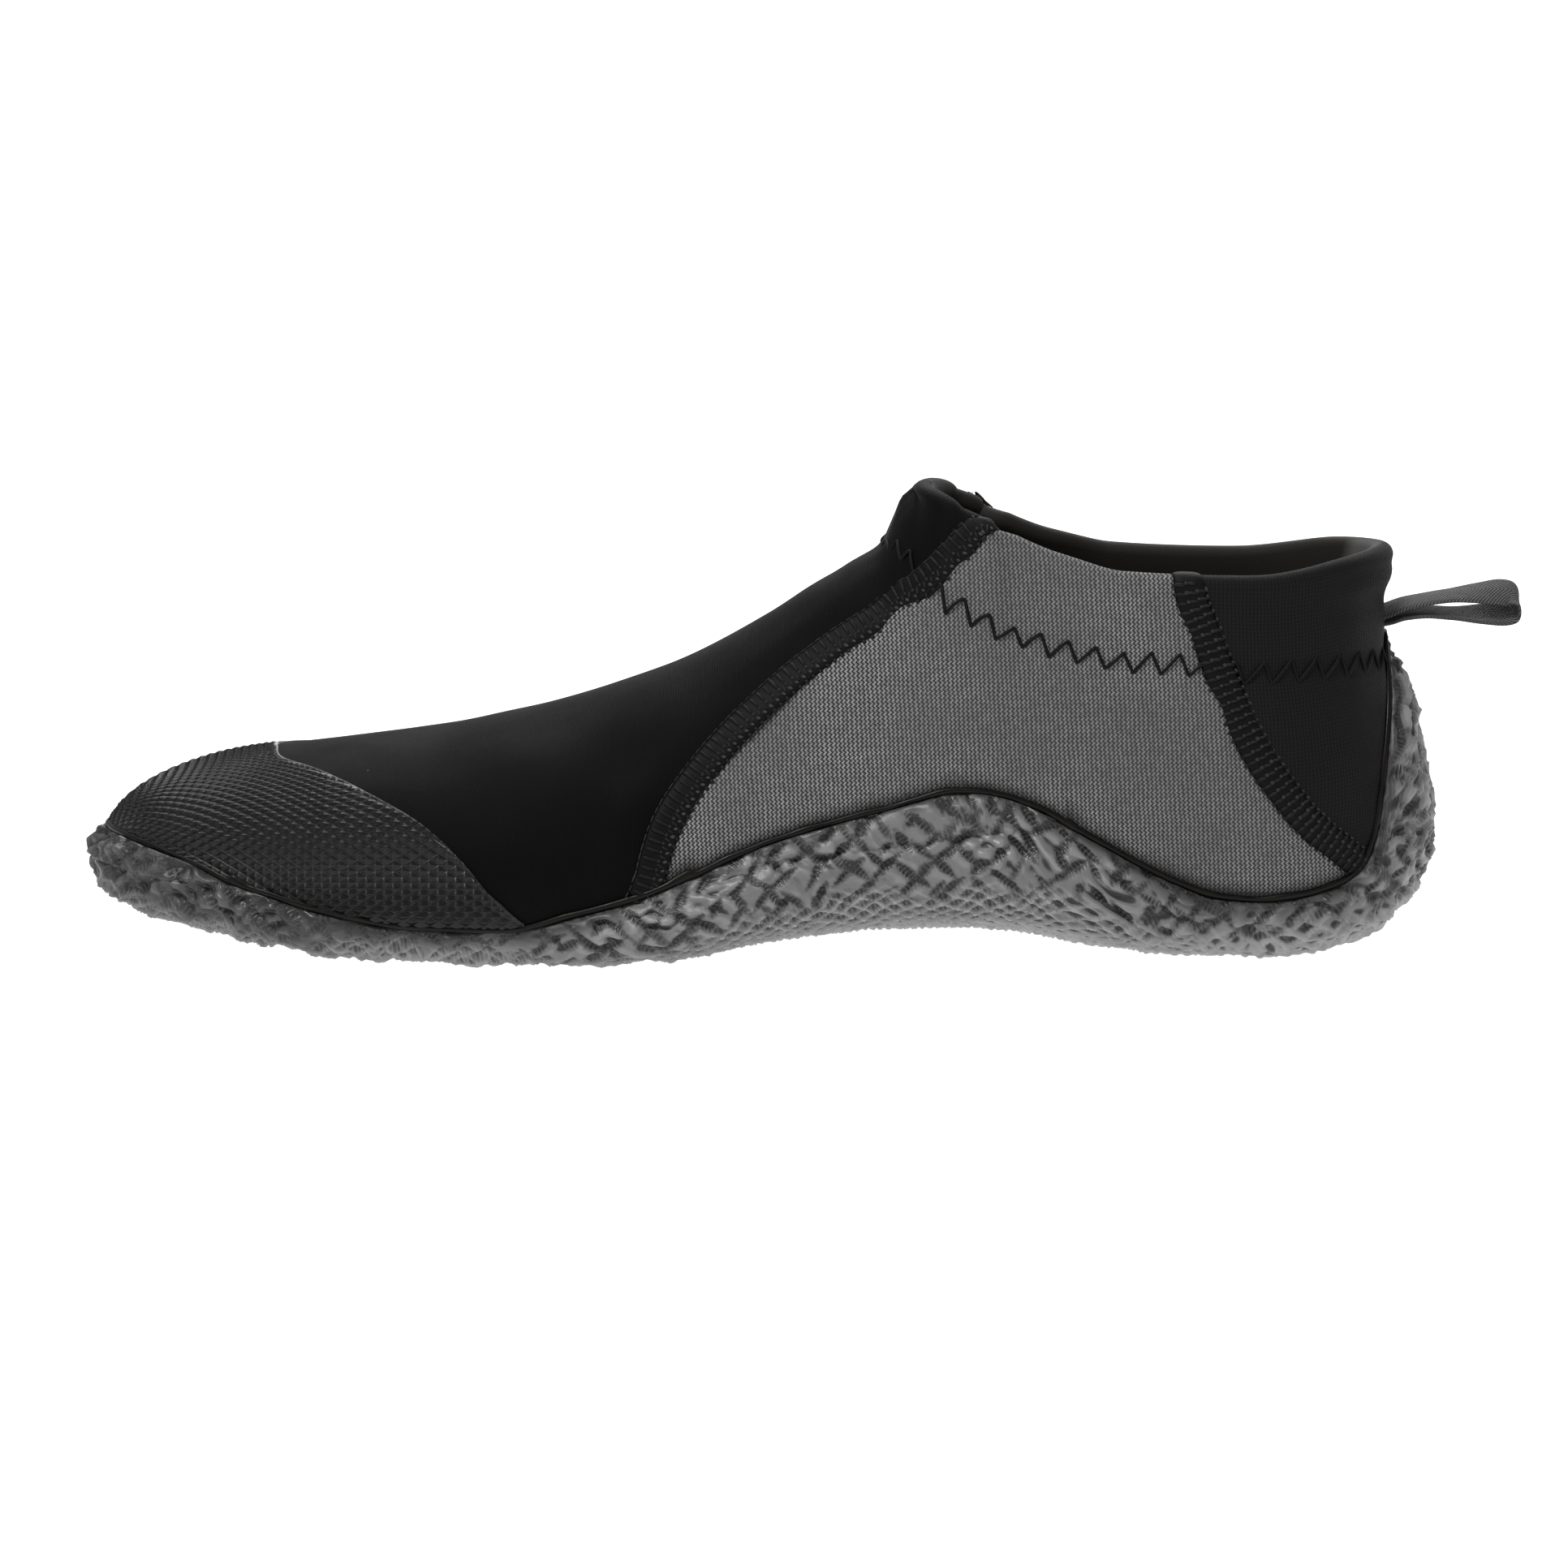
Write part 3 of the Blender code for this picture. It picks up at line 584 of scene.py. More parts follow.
def panel_of(s, v):
    """Which panel of cloth covers a place."""
    front = table(LINE_COLUMNS, FRONT_SEAM)
    rear = table(LINE_COLUMNS, REAR_SEAM)
    s = np.abs(s)
    seam = np.interp(s, front["station"], front["rise"])
    vamp = (s < front["station"][0]) | ((v > seam) & (s < front["station"][-1]))
    heel = s > np.interp(-v, -rear["rise"], rear["station"])
    return np.where(vamp, VAMP, np.where(heel, HEEL, QUARTER))


def upper_face(columns, end):
    """Outer face of the sock, cut into panels and marked to be darker just above the sealed edge."""
    rise = rows_of_upper(columns, end)
    s = spread(columns, UPPER_ROWS)
    plain = form(s, rise)
    out = normal(s, rise)
    points = ease_throat(plain + out * relief_of_upper(s, rise, plain)[..., None], out, s, end - rise)
    face_s = (columns + np.append(columns[1:], TOTAL)) / 2
    face_rise = (rise + np.roll(rise, -1, 0)) / 2
    slots = panel_of(spread(face_s, UPPER_ROWS - 1), (face_rise[:, :-1] + face_rise[:, 1:]) / 2)
    above_seal = (rise - edge_rise(s)) / rise_per_mm(s, edge_rise(s))
    above_seal_dark = held(1 - (above_seal - DARK_START_ABOVE_SEAL) / DARK_FADE_ABOVE_SEAL) ** 1.5
    cloth = np.stack([np.abs(s), run_along(plain)], -1)
    return {"points": points, "closed": True, "slots": slots, "cloth": cloth, "marks": {"above_seal_dark": above_seal_dark}}


def upper_lining(columns, end):
    """Inner face of the sock, with a pale patch at the heel."""
    rise = STROBEL_RISE + (end - STROBEL_RISE) * np.linspace(0, 1, LINING_ROWS)
    s = spread(columns, LINING_ROWS)
    points = off_form(s, rise, -wall_at(s, rise))
    patch = held((np.abs(s) - HEEL_PATCH) / PATCH_FADE) * held((rise - .78) / .06)
    return {"points": points, "closed": True, "slots": LINING, "marks": {"patch": patch}}


def collar_rim(columns):
    """Round fold over the rim of the collar, from the outer face to the lining."""
    s = columns[np.abs(columns) > THROAT - 1e-6]
    s = s[np.argsort(np.where(s < 0, s + THROAT, s - THROAT))]
    s = s[np.concatenate([[True], np.abs(np.diff(np.abs(s))) > 1e-6])]
    edge, out, up = rim_frame(s)
    middle = edge - out * HEM_WALL / 2
    turns = np.linspace(0, np.pi, RIM_ROWS)
    points = np.stack([middle + HEM_WALL / 2 * (out * np.cos(a) + up * np.sin(a)) for a in turns], 1)
    behind_front = np.where(np.abs(s) < REAR_SEAM[1][0], QUARTER, HEEL)
    panel = np.where(np.abs(s) < FRONT_SEAM[-2][0], VAMP, behind_front)
    fold = np.where(s < 0, RIM_FOLD_NEAR, RIM_FOLD_FAR)[:, None]
    slots = np.where(turns[None, :-1] < fold, panel[:, None], LINING)
    patch = held((np.abs(s) - HEEL_PATCH) / PATCH_FADE)[:, None] * held((turns - 2.0) / .6)
    over_rim = np.broadcast_to(RIM_CLOTH + turns * HEM_WALL / 2, (len(s), RIM_ROWS))
    cloth = np.stack([spread(np.abs(s), RIM_ROWS), over_rim], -1)
    return {"points": points, "closed": True, "slots": slots, "cloth": cloth, "marks": {"patch": patch}}


def build_upper(materials):
    columns = both_sides(np.concatenate([stations_between(*stretch) for stretch in UPPER_STRETCHES]))
    end = collar_rise(columns)[:, None]
    face = upper_face(columns, end)
    lining = upper_lining(columns, end)
    foot = np.stack([face["points"][:, 0], lining["points"][:, 0]], 1)
    sheets = [face, lining, {"points": foot, "closed": True, "slots": LINING}, collar_rim(columns)]
    return build_piece("bootie_upper", sheets, materials)


TO_MM = 1000


def grey(level, warm=0.0):
    """A linear grey from a level of 0 to 255 on the screen, made a little redder by warm."""
    share = level / 255
    value = share / 12.92 if share <= 0.04045 else ((share + 0.055) / 1.055) ** 2.4
    return (value * (1 + warm), value, value * (1 - warm), 1)


def feed(tree, socket, value):
    """A constant goes on the socket itself and an output is wired to it."""
    if isinstance(value, bpy.types.NodeSocket):
        tree.links.new(value, socket)
    else:
        socket.default_value = value


def add_node(tree, kind, inputs=None, **settings):
    """A new node with its settings made and its inputs fed, each by its name or number."""
    made = tree.nodes.new(kind)
    for key, value in settings.items():
        setattr(made, key, value)
    for key, value in (inputs or {}).items():
        feed(tree, made.inputs[key], value)
    return made


def calc(tree, operation, *values):
    return add_node(tree, "ShaderNodeMath", dict(enumerate(values)), operation=operation).outputs[0]


def ramp(tree, value, low, high, to_low=0.0, to_high=1.0):
    """Soft step of a value from one range to another."""
    inputs = {"Value": value, "From Min": low, "From Max": high, "To Min": to_low, "To Max": to_high}
    return add_node(tree, "ShaderNodeMapRange", inputs, interpolation_type="SMOOTHSTEP").outputs["Result"]


def stripes(tree, value, pitch, low, high):
    """Soft stripes a pitch apart."""
    return ramp(tree, calc(tree, "PINGPONG", calc(tree, "DIVIDE", value, pitch), .5), low, high)


def mixed(tree, factor, first, second):
    return add_node(tree, "ShaderNodeMix", {0: factor, 6: first, 7: second}, data_type="RGBA").outputs[2]


def tinted(tree, base, mask, share, color):
    """A share of a colour laid over the base where the mask is."""
    return mixed(tree, calc(tree, "MULTIPLY", mask, share), base, color)


def noise(tree, vector, scale, detail=2.0, roughness=0.5):
    inputs = {"Vector": vector, "Scale": scale, "Detail": detail, "Roughness": roughness}
    return add_node(tree, "ShaderNodeTexNoise", inputs).outputs["Fac"]


def bump(tree, height, strength, distance, below=None):
    inputs = {"Height": height, "Strength": strength, "Distance": distance}
    if below is not None:
        inputs["Normal"] = below
    return add_node(tree, "ShaderNodeBump", inputs).outputs["Normal"]


def axes_of(tree, vector):
    return add_node(tree, "ShaderNodeSeparateXYZ", {0: vector}).outputs


def cloth_map(tree):
    return add_node(tree, "ShaderNodeUVMap", uv_map="cloth").outputs["UV"]


def object_map(tree):
    return add_node(tree, "ShaderNodeTexCoord").outputs["Object"]


def mark(tree, name):
    return add_node(tree, "ShaderNodeAttribute", attribute_name=name).outputs["Fac"]


def new_material(name):
    material = bpy.data.materials.new(name)
    material.use_nodes = True
    return material, material.node_tree


def finish_look(tree, base, relief, roughness, specular=.5, sheen=0.0, sheen_roughness=.5):
    """Feeds the surface of a material."""
    values = {"Base Color": base, "Normal": relief, "Roughness": roughness, "Specular IOR Level": specular,
              "Sheen Weight": sheen, "Sheen Roughness": sheen_roughness}
    for name, value in values.items():
        feed(tree, tree.nodes["Principled BSDF"].inputs[name], value)


def add_sockets(tree, way, sockets):
    """Sockets of a group. A row has the kind, the label and, for some inputs, the value at the start."""
    for kind, label, *start in sockets:
        socket = tree.interface.new_socket(label, in_out=way, socket_type=kind)
        for value in start:
            socket.default_value = value


def group(name, kind, inputs, outputs):
    """An empty node group with named inputs and outputs."""
    tree = bpy.data.node_groups.new(name, kind)
    add_sockets(tree, "INPUT", inputs)
    add_sockets(tree, "OUTPUT", outputs)
    return tree, tree.nodes.new("NodeGroupInput").outputs, tree.nodes.new("NodeGroupOutput").inputs


def make_knit_group():
    """Jersey face: wales of zigzag yarn side by side. Thread masks the yarn; the other output masks a painted
    highlight, rising along each course over the leg of the yarn that leans one way.
    """
    tree, given, result = group(
        "jersey_knit", "ShaderNodeTree",
        (("NodeSocketVector", "Vector"), ("NodeSocketFloat", "Wale", 0.9), ("NodeSocketFloat", "Course", 0.8),
         ("NodeSocketFloat", "Swing", 0.45), ("NodeSocketFloat", "Yarn", 0.62)),
        (("NodeSocketFloat", "Thread"), ("NodeSocketFloat", "Lean")))
    parts = axes_of(tree, given["Vector"])
    wander = noise(tree, given["Vector"], 260, 2)
    across = calc(tree, "DIVIDE", calc(tree, "MULTIPLY", parts[0], TO_MM), given["Wale"])
    across = calc(tree, "ADD", across, calc(tree, "MULTIPLY", wander, .7))
    along = calc(tree, "DIVIDE", calc(tree, "MULTIPLY", parts[1], TO_MM), given["Course"])
    along = calc(tree, "ADD", along, calc(tree, "MULTIPLY", wander, .5))
    zigzag = calc(tree, "PINGPONG", along, 0.5)
    shift = calc(tree, "MULTIPLY", zigzag, calc(tree, "MULTIPLY", given["Swing"], 2))
    place = calc(tree, "FRACT", calc(tree, "ADD", across, shift))
    away = calc(tree, "MULTIPLY", calc(tree, "ABSOLUTE", calc(tree, "SUBTRACT", place, .5)), 2)
    thin = calc(tree, "MULTIPLY", given["Yarn"], .35)
    feed(tree, result["Thread"], ramp(tree, away, given["Yarn"], thin))
    # Mask of the painted highlight on the legs of the yarn that lean one way.
    feed(tree, result["Lean"], ramp(tree, calc(tree, "FRACT", along), .35, .65))
    return tree


KNIT = make_knit_group()


def knit_on(tree, vector, wale, course, swing, yarn):
    inputs = {"Vector": vector, "Wale": wale, "Course": course, "Swing": swing, "Yarn": yarn}
    made = add_node(tree, "ShaderNodeGroup", inputs, node_tree=KNIT)
    return made.outputs["Thread"], made.outputs["Lean"]


def lint_on(tree, vector, scale, share):
    """Sparse specks of lint, as a mask."""
    cells = add_node(tree, "ShaderNodeTexVoronoi", {"Vector": vector, "Scale": scale}, feature="F1").outputs
    tone = add_node(tree, "ShaderNodeSeparateColor", {0: cells["Color"]}).outputs[0]
    chosen = calc(tree, "LESS_THAN", tone, share)
    return calc(tree, "MULTIPLY", chosen, ramp(tree, cells["Distance"], .08, .03))


def make_vamp():
    """Fine black jersey glued to the foam, so smooth that it shines a little at a flat angle."""
    material, tree = new_material("vamp_black_jersey")
    place = object_map(tree)
    thread = knit_on(tree, cloth_map(tree), .55, .5, .35, .75)[0]
    patches = noise(tree, place, 45, 3)
    base = mixed(tree, ramp(tree, patches, .35, .7), grey(5), grey(8))
    base = tinted(tree, base, thread, .35, grey(12))
    base = mixed(tree, lint_on(tree, place, 190, .06), base, grey(105))
    relief = bump(tree, thread, .25, .00012, bump(tree, patches, .2, .0008))
    roughness = ramp(tree, patches, .3, .75, .62, .75)
    finish_look(tree, base, relief, roughness, specular=.05, sheen=.08, sheen_roughness=.22)
    return material


def make_quarter():
    """Grey jersey with upright wales: pale yarn over a dark ground, with painted highlights on the yarn,
    darker just above the sealed edge.
    """
    material, tree = new_material("quarter_grey_knit")
    place = object_map(tree)
    parts = axes_of(tree, place)
    along = calc(tree, "ADD", parts[0], calc(tree, "MULTIPLY", parts[2], .06))
    face = add_node(tree, "ShaderNodeCombineXYZ", {0: along, 1: parts[2]}).outputs[0]
    thread, lean = knit_on(tree, face, .93, .88, .55, .78)
    patches = noise(tree, place, 28, 3)
    grain = noise(tree, place, 900, 2, .7)
    # Painted highlight: the yarn is lighter on the legs that lean one way, with lit and dull flecks of
    # painted light and shade over it.
    yarn = mixed(tree, lean, grey(118), grey(142))
    dull = mixed(tree, .22, yarn, grey(60))
    lit = mixed(tree, .14, yarn, grey(190))
    yarn = mixed(tree, ramp(tree, grain, .38, .62), dull, lit)
    base = mixed(tree, thread, grey(34), yarn)
    base = mixed(tree, ramp(tree, patches, .35, .7, .45, 0), base, grey(66))
    # Darker just above the sealed edge of the sole.
    base = tinted(tree, base, mark(tree, "above_seal_dark"), .85, grey(22))
    relief = bump(tree, thread, .5, .0003)
    finish_look(tree, base, relief, .8, specular=.15, sheen=.08, sheen_roughness=.4)
    return material


def make_heel():
    """Black jersey of the heel, with the rows of loops just showing and a painted highlight on the legs of
    the yarn that lean one way.
    """
    material, tree = new_material("heel_black_knit")
    thread, lean = knit_on(tree, cloth_map(tree), .75, .8, .4, .7)
    patches = noise(tree, object_map(tree), 40, 3)
    # Painted highlight: the yarn is lighter on the legs that lean one way.
    base = mixed(tree, thread, grey(9), mixed(tree, lean, grey(18), grey(25)))
    base = mixed(tree, ramp(tree, patches, .35, .7, 0, .35), base, grey(14))
    relief = bump(tree, thread, .45, .00025)
    finish_look(tree, base, relief, .75, specular=.12, sheen=.06, sheen_roughness=.35)
    return material


def make_lining():
    """Dark lining of the inside, smooth and a little brown, with a paler patch at the heel."""
    material, tree = new_material("lining_dark_plush")
    place = object_map(tree)
    patches = noise(tree, place, 60, 4)
    base = mixed(tree, patches, grey(20, .12), grey(31, .12))
    base = mixed(tree, mark(tree, "patch"), base, mixed(tree, patches, grey(58, .03), grey(84, .03)))
    relief = bump(tree, noise(tree, place, 2600, 2), .25, .0002)
    finish_look(tree, base, relief, .7, specular=.15, sheen=.08, sheen_roughness=.3)
    return material


upper = build_upper([make_vamp(), make_quarter(), make_heel(), make_lining()])
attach(upper, "root")
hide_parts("upper")

# Insole. The felt sock board inside, cut to the inside of the foot and glued over the sole; it shows only
# through the collar.
INSOLE_WALL = 2.5
INSOLE_CLEAR = .4
INSOLE_PITCH = 3
INSOLE_ROWS = 14
INSOLE_BEVEL = .25


def make_felt():
    material, tree = new_material("insole_felt")
    fibre = noise(tree, object_map(tree), 900, 4, .7)
    finish_look(tree, mixed(tree, fibre, grey(34), grey(60)), bump(tree, fibre, .4, .0004), .95)
    return material


def build_insole():
    columns = stations_between(-TOTAL, TOTAL, INSOLE_PITCH)
    limit = STROBEL_RISE - INSOLE_CLEAR * rise_per_mm(columns, np.full_like(columns, STROBEL_RISE))
    rise = limit[:, None] * np.linspace(0, 1, INSOLE_ROWS)
    s = spread(columns, INSOLE_ROWS)
    lower = form(s, rise)
    raised = off_form(s, rise, INSOLE_BEVEL * (rise / limit[:, None]) ** 8 - INSOLE_WALL)
    edge = np.stack([lower[:, -1], raised[:, -1]], 1)
    sheets = [{"points": grid, "closed": True} for grid in (lower, raised, edge)]
    return build_piece("bootie_insole", sheets, [make_felt()])


insole = build_insole()
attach(insole, "root")
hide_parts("insole")

# Hem stitching. One black thread in a zigzag that catches the folded hem, a saw tooth that leans towards the
# heel. It sinks into the cloth at every turn.
STITCH_PITCH = 5.7
STITCH_HEIGHT = 4.6
STITCH_LEAN = .22
STITCH_THREAD = .36
STITCH_SUNK = .2
STITCH_ARCH = .55
LEG_POINTS = 7
THREAD_SIDES = 7


def wrap(s, q, out):
    """A place out of the wall at a rise that may pass over the rim of the collar."""
    s, q, out = np.broadcast_arrays(np.asarray(s, float), np.asarray(q, float), np.asarray(out, float))
    end = collar_rise(s)
    rise = np.minimum(q, end)
    base = form(s, rise)
    away = normal(s, rise)
    past = np.maximum(q - end, 0) / rise_per_mm(s, rise)
    turn = np.clip(past / (HEM_WALL / 2), 0, np.pi)[..., None]
    edge, rim_out, rim_up = rim_frame(s)
    reach = (HEM_WALL / 2 + out)[..., None]
    over = edge - rim_out * HEM_WALL / 2 + reach * (rim_out * np.cos(turn) + rim_up * np.sin(turn))
    return np.where((past > 0)[..., None], over, base + away * out[..., None])


def geometry_group(name, inputs):
    """An empty geometry group with named inputs."""
    shape = ("NodeSocketGeometry", "Geometry")
    return group(name, "GeometryNodeTree", (shape, *inputs), (shape,))


def hand_out(tree, given, result, shape):
    """Ends a geometry group: its shape becomes a plain mesh of the given material."""
    real = add_node(tree, "GeometryNodeRealizeInstances", {0: shape}).outputs[0]
    cover = {"Geometry": real, "Material": given["Material"]}
    feed(tree, result[0], add_node(tree, "GeometryNodeSetMaterial", cover).outputs[0])


def make_thread_line_group():
    """A round thread along each line of the carrier."""
    tree, given, result = geometry_group(
        "thread_line",
        (("NodeSocketFloat", "Radius"), ("NodeSocketInt", "Sides"), ("NodeSocketMaterial", "Material")))
    line = add_node(tree, "GeometryNodeMeshToCurve", {0: given["Geometry"]}).outputs[0]
    circle = {"Resolution": given["Sides"], "Radius": given["Radius"]}
    ring = add_node(tree, "GeometryNodeCurvePrimitiveCircle", circle).outputs[0]
    tube = {"Curve": line, "Profile Curve": ring, "Fill Caps": True}
    hand_out(tree, given, result, add_node(tree, "GeometryNodeCurveToMesh", tube).outputs[0])
    return tree


def grown(name, carrier_mesh, tree, values):
    """The plain mesh that a geometry group makes from a carrier."""
    carrier = link_object(bpy.data.objects.new(name + "_carrier", carrier_mesh))
    modifier = carrier.modifiers.new("grow", "NODES")
    modifier.node_group = tree
    for item in tree.interface.items_tree:
        if item.in_out == "INPUT" and item.name in values:
            modifier[item.identifier] = values[item.name]
    graph = bpy.context.evaluated_depsgraph_get()
    mesh = bpy.data.meshes.new_from_object(carrier.evaluated_get(graph))
    carrier.modifiers.remove(modifier)
    bpy.data.objects.remove(carrier, do_unlink=True)
    mesh.name = name
    mesh.shade_smooth()
    return link_object(bpy.data.objects.new(name, mesh))


def make_thread(name, level):
    """Spun nylon thread with a little fuzz."""
    material, tree = new_material(name)
    fuzz = noise(tree, object_map(tree), 1400, 3)
    base = mixed(tree, fuzz, grey(level * .7), grey(level * 1.35))
    finish_look(tree, base, bump(tree, fuzz, .35, .0002), .6, specular=.12)
    return material


def hem_zigzag(side):
    """Points of the hem stitch on one side of the foot, from the front of the collar to the heel."""
    s, v = path_on_form(HEM_ON_WALL, side, STITCH_PITCH)
    half = STITCH_HEIGHT / 2 * rise_per_mm(s, v)
    turns = []
    for i in range(len(s) - 1):
        step = s[i + 1] - s[i]
        climb = v[i + 1] - v[i]
        turns.append((s[i], v[i] - half[i]))
        turns.append((s[i] + step * (1 - STITCH_LEAN), v[i] + climb * (1 - STITCH_LEAN) + half[i]))
    turns = np.array(turns)
    share = np.linspace(0, 1, LEG_POINTS)[None, :, None]
    legs = turns[:-1, None] + (turns[1:] - turns[:-1])[:, None] * share
    leg_s = legs[..., 0]
    leg_v = legs[..., 1]
    cloth = relief_of_upper(leg_s, leg_v, form(leg_s, leg_v))
    height = cloth - STITCH_SUNK + STITCH_ARCH * np.sin(np.pi * share[..., 0]) ** .6
    return list(wrap(leg_s, leg_v, height))


def lines_mesh(name, lines):
    """A mesh of separate lines of edges."""
    points = np.concatenate(lines) * MM
    edges = []
    first = 0
    for line in lines:
        edges += [(first + i, first + i + 1) for i in range(len(line) - 1)]
        first += len(line)
    mesh = bpy.data.meshes.new(name)
    mesh.from_pydata(points.tolist(), edges, [])
    return mesh


THREAD_LINE = make_thread_line_group()
hem_mesh = lines_mesh("hem_path", hem_zigzag(-1) + hem_zigzag(1))
hem_stitch = grown("hem_zigzag_stitch", hem_mesh, THREAD_LINE,
                   {"Radius": STITCH_THREAD * MM, "Sides": THREAD_SIDES,
                    "Material": make_thread("hem_thread", 9)})
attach(hem_stitch, "root")

# Flatlock seams. The butted panels are bridged by several threads at once: a flat black band with bars and
# rows of knots across it. Each seam starts under the sealed edge of the sole and runs up to the collar; the
# rear one on the far side stops at the rim.
SEAM_HALF = 3.3
SEAM_HEIGHT = .62
SEAM_SUNK = .05
SEAM_BACK = .5
SEAM_END = .3
SEAM_PITCH = 1.85
SEAM_LINE = .8
FAR_SEAM_TOP = 1.0
KNOT_UNEVEN = .14
# A row of knots has its place across the seam, its shift ahead along it, the knots' size across, along and
# out of the seam, their slant in degrees and how much painted highlight they carry.
STITCH_COLUMNS = ("place", "ahead", "across", "along", "tall", "slant", "painted_glint")
FRONT_STITCHES = (
    (-3.10, .00, .62, .46, .34, 0, .10),
    (-2.05, .10, .52, .34, .36, -35, .6),
    (-1.30, .92, .85, .30, .30, 15, .15),
    (-.70, .00, .42, .40, .38, 0, .25),
    (1.00, .00, 1.90, .44, .44, 0, .08),
    (3.25, .00, .16, .98, .26, 0, .40),
)
REAR_STITCHES = (
    (-3.15, .00, .55, .48, .34, 0, .10),
    (-1.95, .00, 1.20, .38, .38, 12, .12),
    (-.75, -.10, .50, .42, .46, 12, .35),
    (.35, .10, 1.10, .38, .40, 12, .12),
    (1.45, -.10, .50, .42, .46, 12, .35),
    (2.40, .10, 1.00, .36, .38, 12, .12),
    (3.30, .00, .40, .52, .32, 0, .40),
)


def step_on_form(s, v, direction, distance):
    """The place reached from a place by a distance along a direction in the surface."""
    along, upward = slopes_on_form(s, np.minimum(v, collar_rise(s)))
    aa = np.sum(along * along, -1)
    ab = np.sum(along * upward, -1)
    bb = np.sum(upward * upward, -1)
    ad = np.sum(along * direction, -1)
    bd = np.sum(upward * direction, -1)
    scale = aa * bb - ab * ab
    return s + distance * (ad * bb - bd * ab) / scale, v + distance * (bd * aa - ad * ab) / scale


def seam_frame(rows, side, pitch):
    """Stations and rises along a seam, the way along it and the way across it, rising face outward."""
    s, v = path_on_form(rows, side, pitch)
    points = wrap(s, v, 0)
    ahead = unit(np.gradient(points, axis=0))
    out = unit(wrap(s, v, 1) - points)
    across = unit(np.cross(out, ahead)) * -side
    return s, v, ahead, across, out


def build_seam_band(name, rows, side, material):
    s, v, ahead, across, out = seam_frame(rows, side, SEAM_LINE)
    front = np.linspace(-1, 1, 13)
    back = np.linspace(1, -1, 5)[1:-1]
    shares = np.concatenate([front, back])
    face = SEAM_HEIGHT * (1 - np.abs(front) ** 4) - SEAM_SUNK
    tops = np.concatenate([face, np.full(len(back), -SEAM_BACK)])
    strands = []
    for share, top in zip(shares, tops):
        near_s, near_v = step_on_form(s, v, across, share * SEAM_HALF)
        strand = wrap(near_s, near_v, top)
        for end in (0, -1):
            strand[end] = wrap(s[[end]], v[[end]], -SEAM_END)[0]
        strands.append(strand)
    return build_piece(name, [{"points": np.stack(strands, 0), "closed": True}], [material])


def named_vector(tree, name):
    inputs = {"Name": name}
    return add_node(tree, "GeometryNodeInputNamedAttribute", inputs, data_type="FLOAT_VECTOR").outputs[0]


def make_stitch_row_group():
    """A small bead of thread on each point of the carrier, turned and stretched by the point's own values."""
    tree, given, result = geometry_group(
        "stitch_row",
        (("NodeSocketInt", "Segments"), ("NodeSocketInt", "Rings"), ("NodeSocketFloat", "Uneven"),
         ("NodeSocketInt", "Seed"), ("NodeSocketMaterial", "Material")))
    ball = {"Segments": given["Segments"], "Rings": given["Rings"], "Radius": 1}
    bead = add_node(tree, "GeometryNodeMeshUVSphere", ball).outputs[0]
    axes = {0: named_vector(tree, "along"), 1: named_vector(tree, "out")}
    turn = add_node(tree, "FunctionNodeAxesToRotation", axes, primary_axis="X", secondary_axis="Z").outputs[0]
    least = calc(tree, "SUBTRACT", 1, given["Uneven"])
    most = calc(tree, "ADD", 1, given["Uneven"])
    chance = add_node(tree, "FunctionNodeRandomValue", {"Seed": given["Seed"], 2: least, 3: most},
                      data_type="FLOAT").outputs[1]
    stretch = add_node(tree, "ShaderNodeVectorMath", {0: named_vector(tree, "reach"), "Scale": chance},
                       operation="SCALE").outputs[0]
    beads = {"Points": given["Geometry"], "Instance": bead, "Rotation": turn, "Scale": stretch}
    hand_out(tree, given, result, add_node(tree, "GeometryNodeInstanceOnPoints", beads).outputs[0])
    return tree


def stitch_points(name, rows, side, stitches):
    """The carrier of a seam's beads: one point for each, with its direction, outward side and size."""
    s, v, ahead, across, out = seam_frame(rows, side, SEAM_PITCH)
    places = []
    marks = {"along": [], "out": [], "reach": [], "painted_glint": []}
    for row in stitches:
        stitch = dict(zip(STITCH_COLUMNS, row))
        size = np.array([stitch[name] for name in ("across", "along", "tall")]) * MM
        place = stitch["place"]
        shift = stitch["ahead"]
        near_s, near_v = step_on_form(s, v, unit(across * place + ahead * shift), math.hypot(place, shift))
        edge = 1 - (abs(place) / SEAM_HALF) ** 4
        below_rim = near_v < collar_rise(near_s) + .01
        count = np.sum(below_rim)
        lean = math.radians(stitch["slant"])
        places.append(wrap(near_s, near_v, SEAM_HEIGHT * max(edge, .15) - SEAM_SUNK)[below_rim])
        marks["along"].append((across * math.cos(lean) + ahead * math.sin(lean))[below_rim])
        marks["out"].append(out[below_rim])
        marks["reach"].append(np.tile(size, (count, 1)))
        marks["painted_glint"].append(np.full(count, stitch["painted_glint"]))
    mesh = bpy.data.meshes.new(name)
    mesh.from_pydata((np.concatenate(places) * MM).tolist(), [], [])
    for key in ("along", "out", "reach"):
        layer = mesh.attributes.new(key, "FLOAT_VECTOR", "POINT")
        layer.data.foreach_set("vector", np.concatenate(marks[key]).astype(np.float32).ravel())
    layer = mesh.attributes.new("painted_glint", "FLOAT", "POINT")
    layer.data.foreach_set("value", np.concatenate(marks["painted_glint"]).astype(np.float32))
    return mesh


def make_seam_thread():
    """Black thread, with a painted highlight on the tight knots where they would catch the light."""
    material, tree = new_material("seam_knots")
    fuzz = noise(tree, object_map(tree), 1600, 3)
    dark = mixed(tree, fuzz, grey(4), grey(11))
    glint_tone = mixed(tree, fuzz, grey(34), grey(92))
    # Painted highlight on the knots, as strong as their row's share.
    base = mixed(tree, mark(tree, "painted_glint"), dark, glint_tone)
    finish_look(tree, base, bump(tree, fuzz, .3, .0002), .5, specular=.12)
    return material


